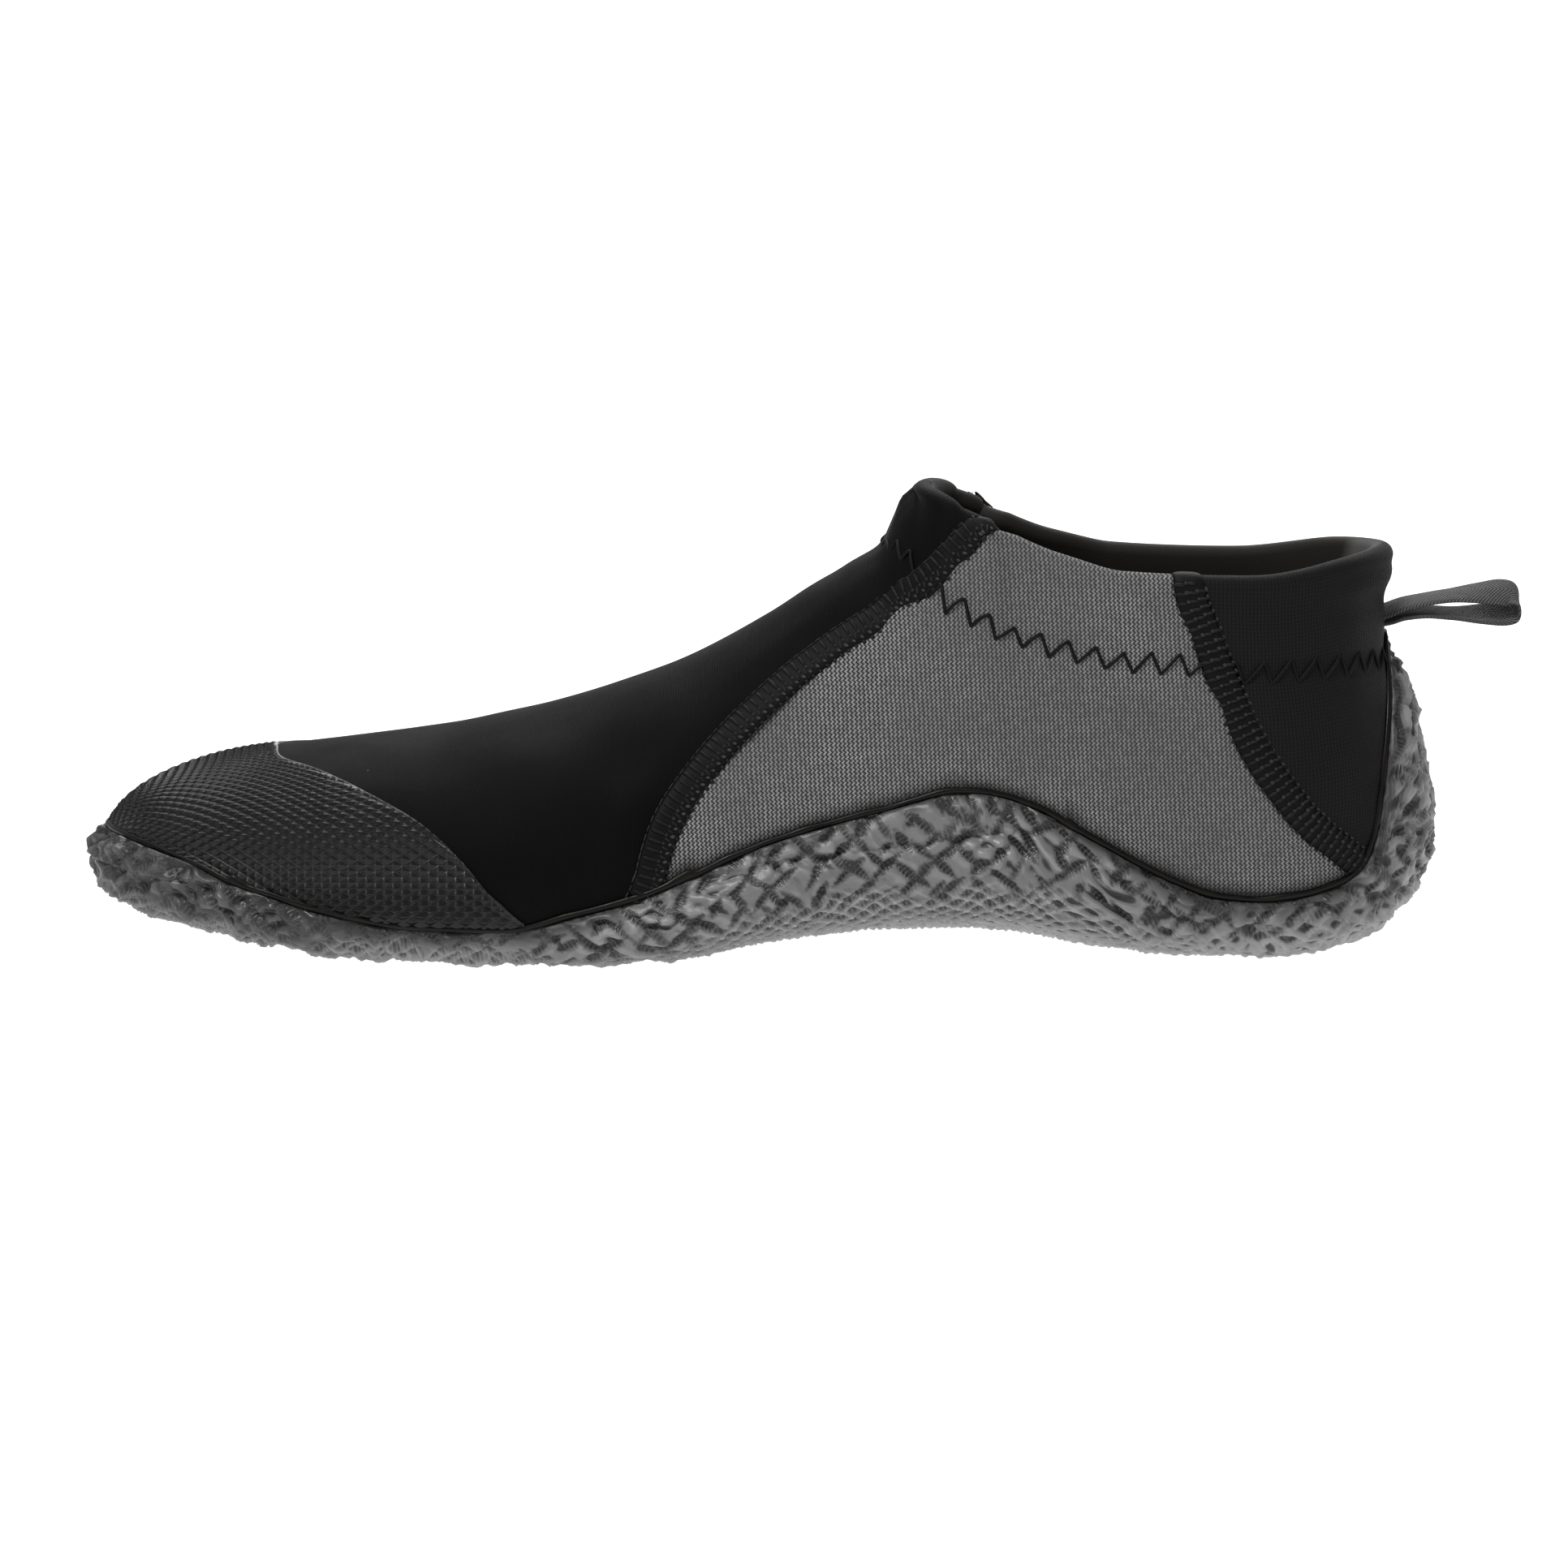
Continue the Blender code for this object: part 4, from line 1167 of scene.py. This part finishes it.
STITCH_ROW = make_stitch_row_group()
seam_band_material = make_thread("seam_band", 6)
seam_knot_material = make_seam_thread()
SEAM_LINES = (("front", FRONT_SEAM, FRONT_STITCHES), ("rear", REAR_SEAM, REAR_STITCHES))
for line_name, line_rows, line_stitches in SEAM_LINES:
    for side_name, side_sign in (("medial", -1), ("lateral", 1)):
        seam_name = "seam_" + line_name + "_" + side_name
        side_rows = line_rows
        if side_name == "lateral":
            side_rows = [(station, min(rise, FAR_SEAM_TOP)) for station, rise in line_rows]
        band = build_seam_band(seam_name + "_band", side_rows, side_sign, seam_band_material)
        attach(band, "root")
        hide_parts(seam_name)
        knots_mesh = stitch_points(seam_name + "_points", side_rows, side_sign, line_stitches)
        knots = grown(seam_name + "_knots", knots_mesh, STITCH_ROW,
                      {"Segments": 8, "Rings": 6, "Uneven": KNOT_UNEVEN, "Seed": 7,
                       "Material": seam_knot_material})
        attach(knots, "root")

# Pull loop. A length of grey twill tape, folded back on itself and sewn to the heel by its two ends. The tape
# is creased along its middle, so it stands off like a shallow roof.
TAPE_WIDTH = 8.0
TAPE_WALL = 1.0
TAPE_CREASE = .5
TAPE_STRANDS = 17
LOOP_POINTS = 150
LOOP_COLUMNS = ("x", "z", "roll")
LOOP_PATH = (
    (174.5, 68.3, 14), (177.9, 69.5, 14), (181.0, 70.7, 12), (185.0, 71.6, 10), (190.0, 72.4, 11),
    (196.0, 73.0, 22), (201.0, 73.3, 34), (203.8, 72.8, 38), (204.9, 71.0, 38), (204.2, 69.1, 38),
    (201.5, 68.4, 34), (197.0, 68.2, 22), (191.0, 68.4, 11), (186.0, 68.7, 10), (181.5, 68.4, 12),
    (178.1, 67.5, 14), (174.7, 66.9, 14),
)


def build_loop(material):
    rows = table(LOOP_COLUMNS, LOOP_PATH)
    knots = np.arange(len(LOOP_PATH), dtype=float)
    fine = np.linspace(0, knots[-1], LOOP_POINTS)
    x, z, roll = [curve_through(knots, rows[name], fine) for name in LOOP_COLUMNS]
    roll = np.radians(roll)
    line = np.stack([x, 0 * x, z], 1)
    ahead = unit(np.gradient(line, axis=0))
    level = np.stack([0 * x, np.cos(roll), np.sin(roll)], 1)
    level = unit(level - ahead * np.sum(level * ahead, 1)[:, None])
    face = np.cross(ahead, level)
    length = run_along(line)
    across = np.linspace(-1, 1, TAPE_STRANDS)
    strands = []
    cloth = []
    for a, b in [(a, 1) for a in across] + [(a, -1) for a in across[::-1]]:
        thin = TAPE_WALL / 2 * math.sqrt(max(1 - abs(a) ** 6, .02))
        crease = TAPE_CREASE * (.45 - abs(a) ** 1.4)
        strands.append(line + level * TAPE_WIDTH / 2 * a + face * (b * thin + crease))
        cloth.append(np.stack([length, np.full_like(length, a * TAPE_WIDTH / 2)], -1))
    tube = np.stack(strands, 0)
    for end in (0, -1):
        tube[:, end] = line[end]
    sheet = {"points": tube, "closed": True, "cloth": np.stack(cloth, 0)}
    return build_piece("pull_loop_tape", [sheet], [material])


def make_twill():
    """Narrow woven tape: slanted ribs that meet in a chevron along the middle."""
    material, tree = new_material("tape_twill")
    parts = axes_of(tree, cloth_map(tree))
    along = calc(tree, "MULTIPLY", parts[0], TO_MM)
    slant = calc(tree, "ADD", along, calc(tree, "MULTIPLY", calc(tree, "ABSOLUTE", parts[1]), 900))
    rib = stripes(tree, slant, .75, .1, .4)
    weft = stripes(tree, parts[1], .0005, .05, .4)
    weave = calc(tree, "MULTIPLY", rib, calc(tree, "ADD", calc(tree, "MULTIPLY", weft, .4), .6))
    yarn = mixed(tree, noise(tree, object_map(tree), 900, 3), grey(72), grey(104))
    base = mixed(tree, weave, grey(38), yarn)
    finish_look(tree, base, bump(tree, weave, .6, .0003), .75, specular=.3)
    return material


loop = build_loop(make_twill())
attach(loop, "root")
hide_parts("pull_loop")

# Toe cap. A thin sheet of black rubber with a diamond knurl, glued over the nose of the upper and tucked
# under the sealed edge of the sole. Its cut rear edge shows pale on the top of the foot.
CAP_BASE = .1
CAP_WALL = .75
CAP_SUNK = .3
CAP_COLUMNS = 601
CAP_ROWS = 150
CAP_INNER_ROWS = 10
CUT_PALE = 16
CUT_FADE = 28
CAP_EDGE = ((0, 1.0), (20, .970), (37, .885), (51, .834), (74, .720), (87, .646), (97, .567), (106, .462),
            (111, .37))
KNURL_LONG = 3.7
KNURL_WIDE = 2.05
KNURL_HEIGHT = .5
KNURL_CENTRE = (-45, -4, 14)
KNURL_NOSE = 40
KNURL_ROUND = 34


def cap_rise(s):
    return read_off(LINE_COLUMNS, CAP_EDGE, "rise", np.abs(s))


def seal_path(s, distance):
    """Station and rise of a line that keeps a distance above the sole's top edge."""
    v = edge_rise(s)
    points = form(s, v)
    ahead = unit(np.roll(points, -1, 0) - np.roll(points, 1, 0))
    return step_on_form(s, v, unit(np.cross(ahead, normal(s, v))), distance)


def cap_end(side):
    """Station where the rear edge of the cap meets the edge of the sole."""
    near = 60.0
    far = float(CAP_EDGE[-1][0])
    for _ in range(40):
        middle = np.array([(near + far) / 2 * side])
        if cap_rise(middle)[0] > edge_rise(middle)[0]:
            near = abs(middle[0])
        else:
            far = abs(middle[0])
    return near * side


def knurl_net(points):
    """Place on a diamond net that runs along the foot and closes in on the tip of the toe."""
    away = points - np.array(KNURL_CENTRE)
    radius = np.hypot(away[..., 1], away[..., 2])
    nose = -KNURL_NOSE * np.arctan2(-away[..., 0], radius)
    along = np.where(away[..., 0] > 0, away[..., 0], nose) / KNURL_LONG
    round_it = KNURL_ROUND * np.arctan2(away[..., 1], away[..., 2]) / KNURL_WIDE
    return np.stack([along + round_it, along - round_it], -1)


def build_cap(materials):
    columns = np.linspace(cap_end(-1), cap_end(1), CAP_COLUMNS)
    low = edge_rise(columns)
    high = np.maximum(cap_rise(columns), low)
    rise = low[:, None] + (high - low)[:, None] * np.linspace(0, 1, CAP_ROWS)
    s = spread(columns, CAP_ROWS)
    plain = form(s, rise)
    from_rear = (high[:, None] - rise) / rise_per_mm(s, rise)
    net = knurl_net(plain)
    pyramids = np.min(1 - 2 * np.abs(net % 1 - .5), axis=-1)
    knurl = pyramids * held((from_rear - .6) / .5)
    wall = CAP_BASE + CAP_WALL - KNURL_HEIGHT * (1 - np.maximum(knurl, .5 * held(1.4 - from_rear)))
    outer = plain + normal(s, rise) * wall[..., None]
    inner_rise = low[:, None] + (high - low)[:, None] * np.linspace(0, 1, CAP_INNER_ROWS)
    inner = off_form(spread(columns, CAP_INNER_ROWS), inner_rise, np.full_like(inner_rise, -CAP_SUNK))
    rear, front = [np.stack([outer[:, row], inner[:, row]], 1) for row in (-1, 0)]
    pale = held(1 - (np.abs(columns) - CUT_PALE) / CUT_FADE)[:, None]
    cut = held(1.5 - from_rear / .3) * pale
    sheets = [
        {"points": outer, "closed": False, "cloth": net, "marks": {"cut": cut}},
        {"points": inner, "closed": False},
        {"points": rear, "closed": False, "marks": {"cut": spread(pale[:, 0], 2)}},
        {"points": front, "closed": False},
    ]
    return build_piece("toe_cap_knurled", sheets, materials)


def make_cap_rubber():
    """Black rubber, with painted shade darkest between the pyramids of the knurl, and pale where it is cut.
    """
    material, tree = new_material("cap_knurled_rubber")
    place = object_map(tree)
    patches = noise(tree, place, 60, 3)
    parts = axes_of(tree, cloth_map(tree))
    first, second = [calc(tree, "PINGPONG", calc(tree, "MULTIPLY", parts[i], TO_MM), .5) for i in (0, 1)]
    pyramid = calc(tree, "MINIMUM", first, second)
    # Painted shade: darker between the pyramids of the knurl.
    base = mixed(tree, ramp(tree, pyramid, .02, .16), grey(4), grey(9))
    base = mixed(tree, ramp(tree, patches, .4, .8, 0, .3), base, grey(14))
    base = mixed(tree, mark(tree, "cut"), base, grey(200))
    relief = bump(tree, noise(tree, place, 1500, 3), .12, .0002, bump(tree, pyramid, .8, .0009))
    finish_look(tree, base, relief, ramp(tree, patches, .3, .7, .34, .44), specular=.3)
    return material


cap = build_cap([make_cap_rubber()])
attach(cap, "root")
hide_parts("toe_cap")

# Outsole. One soft grey rubber moulding glued round the sock: tread, side wall with the raised arch, toe
# bumper and heel strip. Its face copies a crumpled net: broad lands cut by short ladder grooves, and a
# diamond mesh low down.
TREAD_WALL = 4.9
SIDE_WALL = 3.6
LIP_WALL = 1.3
LIP_DEPTH = 5.0
LIP_RAGGED = 1.2
SOLE_GAP = .05
CORNER_RISE = .25
SIDE_START = CORNER_RISE - .02
SOLE_COLUMNS = 501
TREAD_ROWS = 17
SIDE_ROWS = 70
SOLE_INNER_ROWS = 8
SOLE_RIM_CLOTH = 20.0
NET_PITCH = 4.8
NET_SLOPE = 1.75
NET_SPACING = NET_PITCH * .62
NET_RIDGE = .33
NET_TOP = 4
NET_TOP_ARCH = 7.5
NET_FADE = 4
TREAD_SLOPE = 1.15
SHINGLE_PITCH = 6.0
SHINGLE_SLOPE = 1.25
SHINGLE_STEP = 1.7
SHINGLE_FALL = .24
CRUMPLE_SQUEEZE = (1, 1, 1.5)
TOE_END = 92
TOE_FADE = 26
HEEL_START = 262
HEEL_FADE = 18
ARCH_HEIGHT = 19
ARCH_FADE = 9
HEEL_CORNER = 1.8
DARK_TOE = 100
DARK_TOE_FADE = 45
LEAF_ROWS = 17
LEAF_PITCH = 4.6
LEAF_ROW_PITCH = 3.1
LEAF_START = 5.5
LEAF_CHANCE = .85


def side_leaves():
    """Leaf-shaped grooves in rows along the side wall: place, length, width, depth and direction of each."""
    chance = np.random.default_rng(11)
    leaves = []
    for row in range(LEAF_ROWS):
        for column, start in enumerate(np.arange(-TOTAL, TOTAL, LEAF_PITCH)):
            station = start + chance.uniform(-1.8, 1.8)
            level = LEAF_START + LEAF_ROW_PITCH * row + chance.uniform(-1.3, 1.3)
            way = 1 if (column + row) % 2 else -1
            angle = way * math.radians(chance.uniform(32, 62))
            size = (chance.uniform(5.5, 10.5), chance.uniform(1.6, 2.7), chance.uniform(.8, 1.5))
            if chance.random() < LEAF_CHANCE:
                leaves.append((station, level, *size, angle))
    return leaves


def cut_leaves(s, height):
    """Depth of the grooves at each place, and the distance along the groove."""
    depth = np.zeros_like(height)
    along_it = np.zeros_like(height)
    stations = s[:, 0]
    for start, level, length, width, deep, angle in side_leaves():
        first, last = np.searchsorted(stations, (start - length / 2 - 1, start + length / 2 + 1))
        if first == last:
            continue
        part = slice(first, last)
        ds = s[part] - start
        dh = height[part] - level
        along = ds * math.cos(angle) + dh * math.sin(angle)
        across = dh * math.cos(angle) - ds * math.sin(angle)
        half = width / 2 * (1 - np.clip(np.abs(2 * along / length), 0, 1) ** 1.7)
        steep = np.clip((half + across) / .7, 0, 1)
        gentle = np.clip((half - across) / 1.3, 0, 1)
        groove = np.minimum(steep, gentle) * deep
        better = groove > depth[part]
        depth[part] = np.where(better, groove, depth[part])
        near = (np.abs(across) < half + .7) & (better | (depth[part] < .05))
        along_it[part] = np.where(near, along, along_it[part])
    return depth, along_it


def crossing_lines(along, lean, pitch):
    """Running numbers of two sets of lines that lean forward and back."""
    return (along + lean) / pitch, (along - lean) / pitch


def diamond_net(first, second):
    """Ridges of a net of two crossing sets of lines, 1 on the lines."""
    one = np.abs(first - np.round(first)) * NET_SPACING
    two = np.abs(second - np.round(second)) * NET_SPACING
    return bell(np.minimum(one, two), NET_RIDGE)


def smoothed(values, columns, rows):
    """Mean over a window of a sheet that closes on itself along its first direction."""
    total = sum(np.roll(values, shift, 0) for shift in range(-columns, columns + 1)) / (2 * columns + 1)
    padded = np.pad(total, ((0, 0), (rows, rows)), mode="edge")
    return sum(padded[:, i:i + values.shape[1]] for i in range(2 * rows + 1)) / (2 * rows + 1)


def shingle(line):
    """Saw tooth across a set of lines; each tooth rises slowly and falls over a part of the spacing."""
    place = line % 1
    rise = place / (1 - SHINGLE_FALL)
    fall = (1 - place) / SHINGLE_FALL
    return np.minimum(rise, fall) - .5


def crags(points, size, seed):
    """Sharp crests with rounded hollows between them."""
    return .6 - 2.4 * np.abs(lumps(points * np.array(CRUMPLE_SQUEEZE), size, seed))


def sole_relief(s, v, height, to_edge, points):
    """Height of the face of the sole over its plain wall, with the masks that its rubber needs."""
    station = np.abs(s)
    wander = 3.4 * lumps(points, 9, 21) + lumps(points, 3.5, 26)
    drift = 2.4 * lumps(points, 7, 22)
    first, second = crossing_lines(s + wander, SHINGLE_SLOPE * (height + drift), SHINGLE_PITCH)
    side_lines = crossing_lines(s + .5 * wander, NET_SLOPE * (height + .5 * drift), NET_PITCH)
    tread_lines = crossing_lines(points[..., 0], TREAD_SLOPE * points[..., 1], NET_PITCH)
    under = held((CORNER_RISE - v) / .06 + .5)
    ridge = diamond_net(*side_lines) * (1 - under) + diamond_net(*tread_lines) * under
    toe = held((TOE_END - station) / TOE_FADE)
    heel = held((station - HEEL_START) / HEEL_FADE)
    arch = held((height[:, -1:] - ARCH_HEIGHT) / ARCH_FADE) * (1 - heel)
    low = held(1 - (height + drift - NET_TOP - NET_TOP_ARCH * arch) / NET_FADE)
    leaf, rung = cut_leaves(s, height)
    leaf = leaf * (1 - low) * (1 - .55 * toe) * (1 - .3 * heel)
    shingles = lumps(points, 12, 27) * shingle(first) + lumps(points, 12, 28) * shingle(second)
    rough = 1 - arch
    folds = (.15 + .85 * rough + .3 * toe) * crags(points, 7.5, 23)
    wrinkles = (.12 + .55 * rough + .2 * heel) * crags(points, 3.6, 24)
    face = SHINGLE_STEP * shingles * (1 - .4 * low) + (folds + wrinkles)
    fuller = HEEL_CORNER * low * held((station - 205) / 30) * held((304 - station) / 10)
    out = low * (-.4 + 1.15 * ridge) + face * (1 - .5 * under) + fuller - leaf + .25 * lumps(points, 11, 25)
    out = .65 * out + .35 * smoothed(out, 1, 1)
    lip = .5 + .5 * held(to_edge / 1.2)
    return out * lip, leaf, rung, ridge * low, low


def sole_wall(s, v):
    """Thickness of the plain sole: tread, full corner and side."""
    low = curve_through(np.array((0, .22, .34, .42, .5)), np.array((0, .35, 1, .6, 0)), v)
    plain = np.interp(v, (0, .3, .5), (TREAD_WALL, TREAD_WALL, SIDE_WALL))
    return plain * (1 - low) + round_foot("corner_wall", s) * low


def sole_rows(edge):
    """Rises of the rows of the sole, from the middle of the tread to its top edge."""
    tread = np.linspace(0, SIDE_START, TREAD_ROWS)[:-1]
    side = SIDE_START + (edge - SIDE_START) * np.linspace(0, 1, SIDE_ROWS)
    return np.concatenate([np.repeat(tread[None], len(edge), 0), side], 1)


def build_outsole(material):
    columns = both_sides(np.linspace(0, TOTAL, SOLE_COLUMNS)[:-1])
    edge = edge_rise(columns)[:, None]
    rise = sole_rows(edge)
    s = spread(columns, rise.shape[1])
    plain = form(s, rise)
    out = normal(s, rise)
    steepness = np.gradient(edge[:, 0], columns) / rise_per_mm(columns, edge[:, 0])
    to_edge = (edge - rise) / rise_per_mm(s, rise) / np.hypot(1, steepness)[:, None]
    ragged = LIP_WALL + LIP_RAGGED * lumps(plain, 4.5, 29)
    wall = ragged + (sole_wall(s, rise) - ragged) * held(to_edge / LIP_DEPTH) ** .75
    body = plain + out * wall[..., None]
    height = run_along(body)
    height = height - height[:, TREAD_ROWS - 1:TREAD_ROWS]
    relief, leaf, rung, ridge, low = sole_relief(s, rise, height, to_edge, body)
    outer = body + out * relief[..., None]
    outer[..., 2] = np.maximum(outer[..., 2], 0)
    inner_rise = edge * np.linspace(0, 1, SOLE_INNER_ROWS)
    inner = off_form(spread(columns, SOLE_INNER_ROWS), inner_rise, np.full_like(inner_rise, SOLE_GAP))
    rim = np.stack([outer[:, -1], inner[:, -1]], 1)
    rim_cloth = np.full(rim.shape[:2] + (2,), SOLE_RIM_CLOTH)
    # Marks for the rubber: groove, cavity and net carry painted shade in grooves and hollows, cavity and
    # ridge pale crests that are part wear and part painted highlight, and lip sealant smear with painted
    # shadow.
    marks = {"groove": held(leaf / .5), "rung": rung, "ridge": ridge, "relief": relief, "net": low,
             "cavity": relief - smoothed(relief, 3, 6), "ends": held((DARK_TOE - np.abs(s)) / DARK_TOE_FADE),
             "lip": held(1.2 - to_edge / 1.6)}
    sheets = [
        {"points": outer, "closed": True, "cloth": np.stack([np.abs(s), height], -1), "marks": marks},
        {"points": inner, "closed": True},
        {"points": rim, "closed": True, "cloth": rim_cloth, "marks": {"lip": 1}},
    ]
    return build_piece("outsole_moulded", sheets, [material])


def make_sole_rubber():
    """Satin grey rubber, darker round the toe, with painted shade in the grooves and hollows, painted bounce
    light low down, crests and net ridges pale from wear and painted highlight, and the top edge dark from
    sealant smear and painted shadow.
    """
    material, tree = new_material("sole_grey_rubber")
    place = object_map(tree)
    patches = noise(tree, place, 55, 3)
    groove, cavity, ends = [mark(tree, name) for name in ("groove", "cavity", "ends")]
    stripe = stripes(tree, mark(tree, "rung"), .95, .15, .35)
    parts = axes_of(tree, cloth_map(tree))
    along = calc(tree, "MULTIPLY", parts[0], TO_MM)
    slant = calc(tree, "ADD", along, calc(tree, "MULTIPLY", parts[1], 350))
    hatch = stripes(tree, slant, 1.0, .15, .4)
    sunk = calc(tree, "MULTIPLY", mark(tree, "net"), ramp(tree, mark(tree, "relief"), .1, -.35))
    base = mixed(tree, patches, grey(94), grey(110))
    base = tinted(tree, base, ends, .85, grey(34))
    # Painted light bounced from the floor: paler low down on the sole, less round the toe.
    bounced = mixed(tree, ends, grey(165), grey(130))
    base = mixed(tree, ramp(tree, parts[1], .008, .001, 0, .4), base, bounced)
    # Painted shade in the hollows of the relief.
    base = mixed(tree, ramp(tree, cavity, -.02, -.38, 0, .92), base, grey(22))
    # Crests paler: part wear, part painted highlight.
    wear_and_highlight = mixed(tree, ends, grey(132), grey(84))
    base = mixed(tree, ramp(tree, cavity, .14, .6, 0, .65), base, wear_and_highlight)
    # Painted shade in the grooves, crossed by lighter rungs.
    base = tinted(tree, base, groove, .8, mixed(tree, stripe, grey(26), grey(62)))
    # Painted shade in the hollows of the low net, with hatch lines.
    base = tinted(tree, base, sunk, .7, mixed(tree, hatch, grey(52), grey(104)))
    # Net ridges paler: part wear, part painted highlight.
    base = tinted(tree, base, mark(tree, "ridge"), .5, grey(165))
    # Top edge dark: sealant smear and painted shadow under the seal.
    base = tinted(tree, base, mark(tree, "lip"), .8, grey(22))
    ladder = bump(tree, calc(tree, "MULTIPLY", groove, stripe), .6, .0005)
    lines = bump(tree, calc(tree, "MULTIPLY", sunk, hatch), .5, .0004, ladder)
    relief = bump(tree, noise(tree, place, 1300, 3), .25, .00025, lines)
    finish_look(tree, base, relief, ramp(tree, patches, .3, .7, .36, .50))
    return material


sole = build_outsole(make_sole_rubber())
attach(sole, "root")
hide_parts("outsole")

# Sealed edge. A bead of brown-black sealant brushed along the whole top edge of the sole, glossy and a little
# uneven.
SEAL_WIDTH = 1.35
SEAL_HEIGHT = .95
SEAL_MIDDLE = .35
SEAL_BELOW = .05
SEAL_PITCH = 1.0
SEAL_STRANDS = 14


def build_seal(material):
    columns = both_sides(stations_between(0, TOTAL, SEAL_PITCH))
    ripple = lumps(form(columns, edge_rise(columns)), 5.5, 31)
    strands = []
    for angle in np.linspace(0, 2 * np.pi, SEAL_STRANDS, endpoint=False):
        distance = (SEAL_WIDTH / 2 + .16 * ripple) * (1 + math.cos(angle)) - SEAL_BELOW
        out = SEAL_MIDDLE + (SEAL_HEIGHT - SEAL_MIDDLE + .14 * ripple) * math.sin(angle)
        strands.append(off_form(*seal_path(columns, distance), out))
    ring = np.stack(strands + strands[:1], 1)
    return build_piece("sole_edge_sealant", [{"points": ring, "closed": True}], [material])


def make_sealant():
    material, tree = new_material("sealant_gloss")
    patches = noise(tree, object_map(tree), 180, 3)
    base = mixed(tree, patches, grey(5, .2), grey(13, .25))
    roughness = ramp(tree, patches, .3, .7, .28, .5)
    finish_look(tree, base, bump(tree, patches, .2, .0004), roughness, specular=.16)
    return material


seal = build_seal(make_sealant())
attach(seal, "root")
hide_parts("sole_edge_seal")
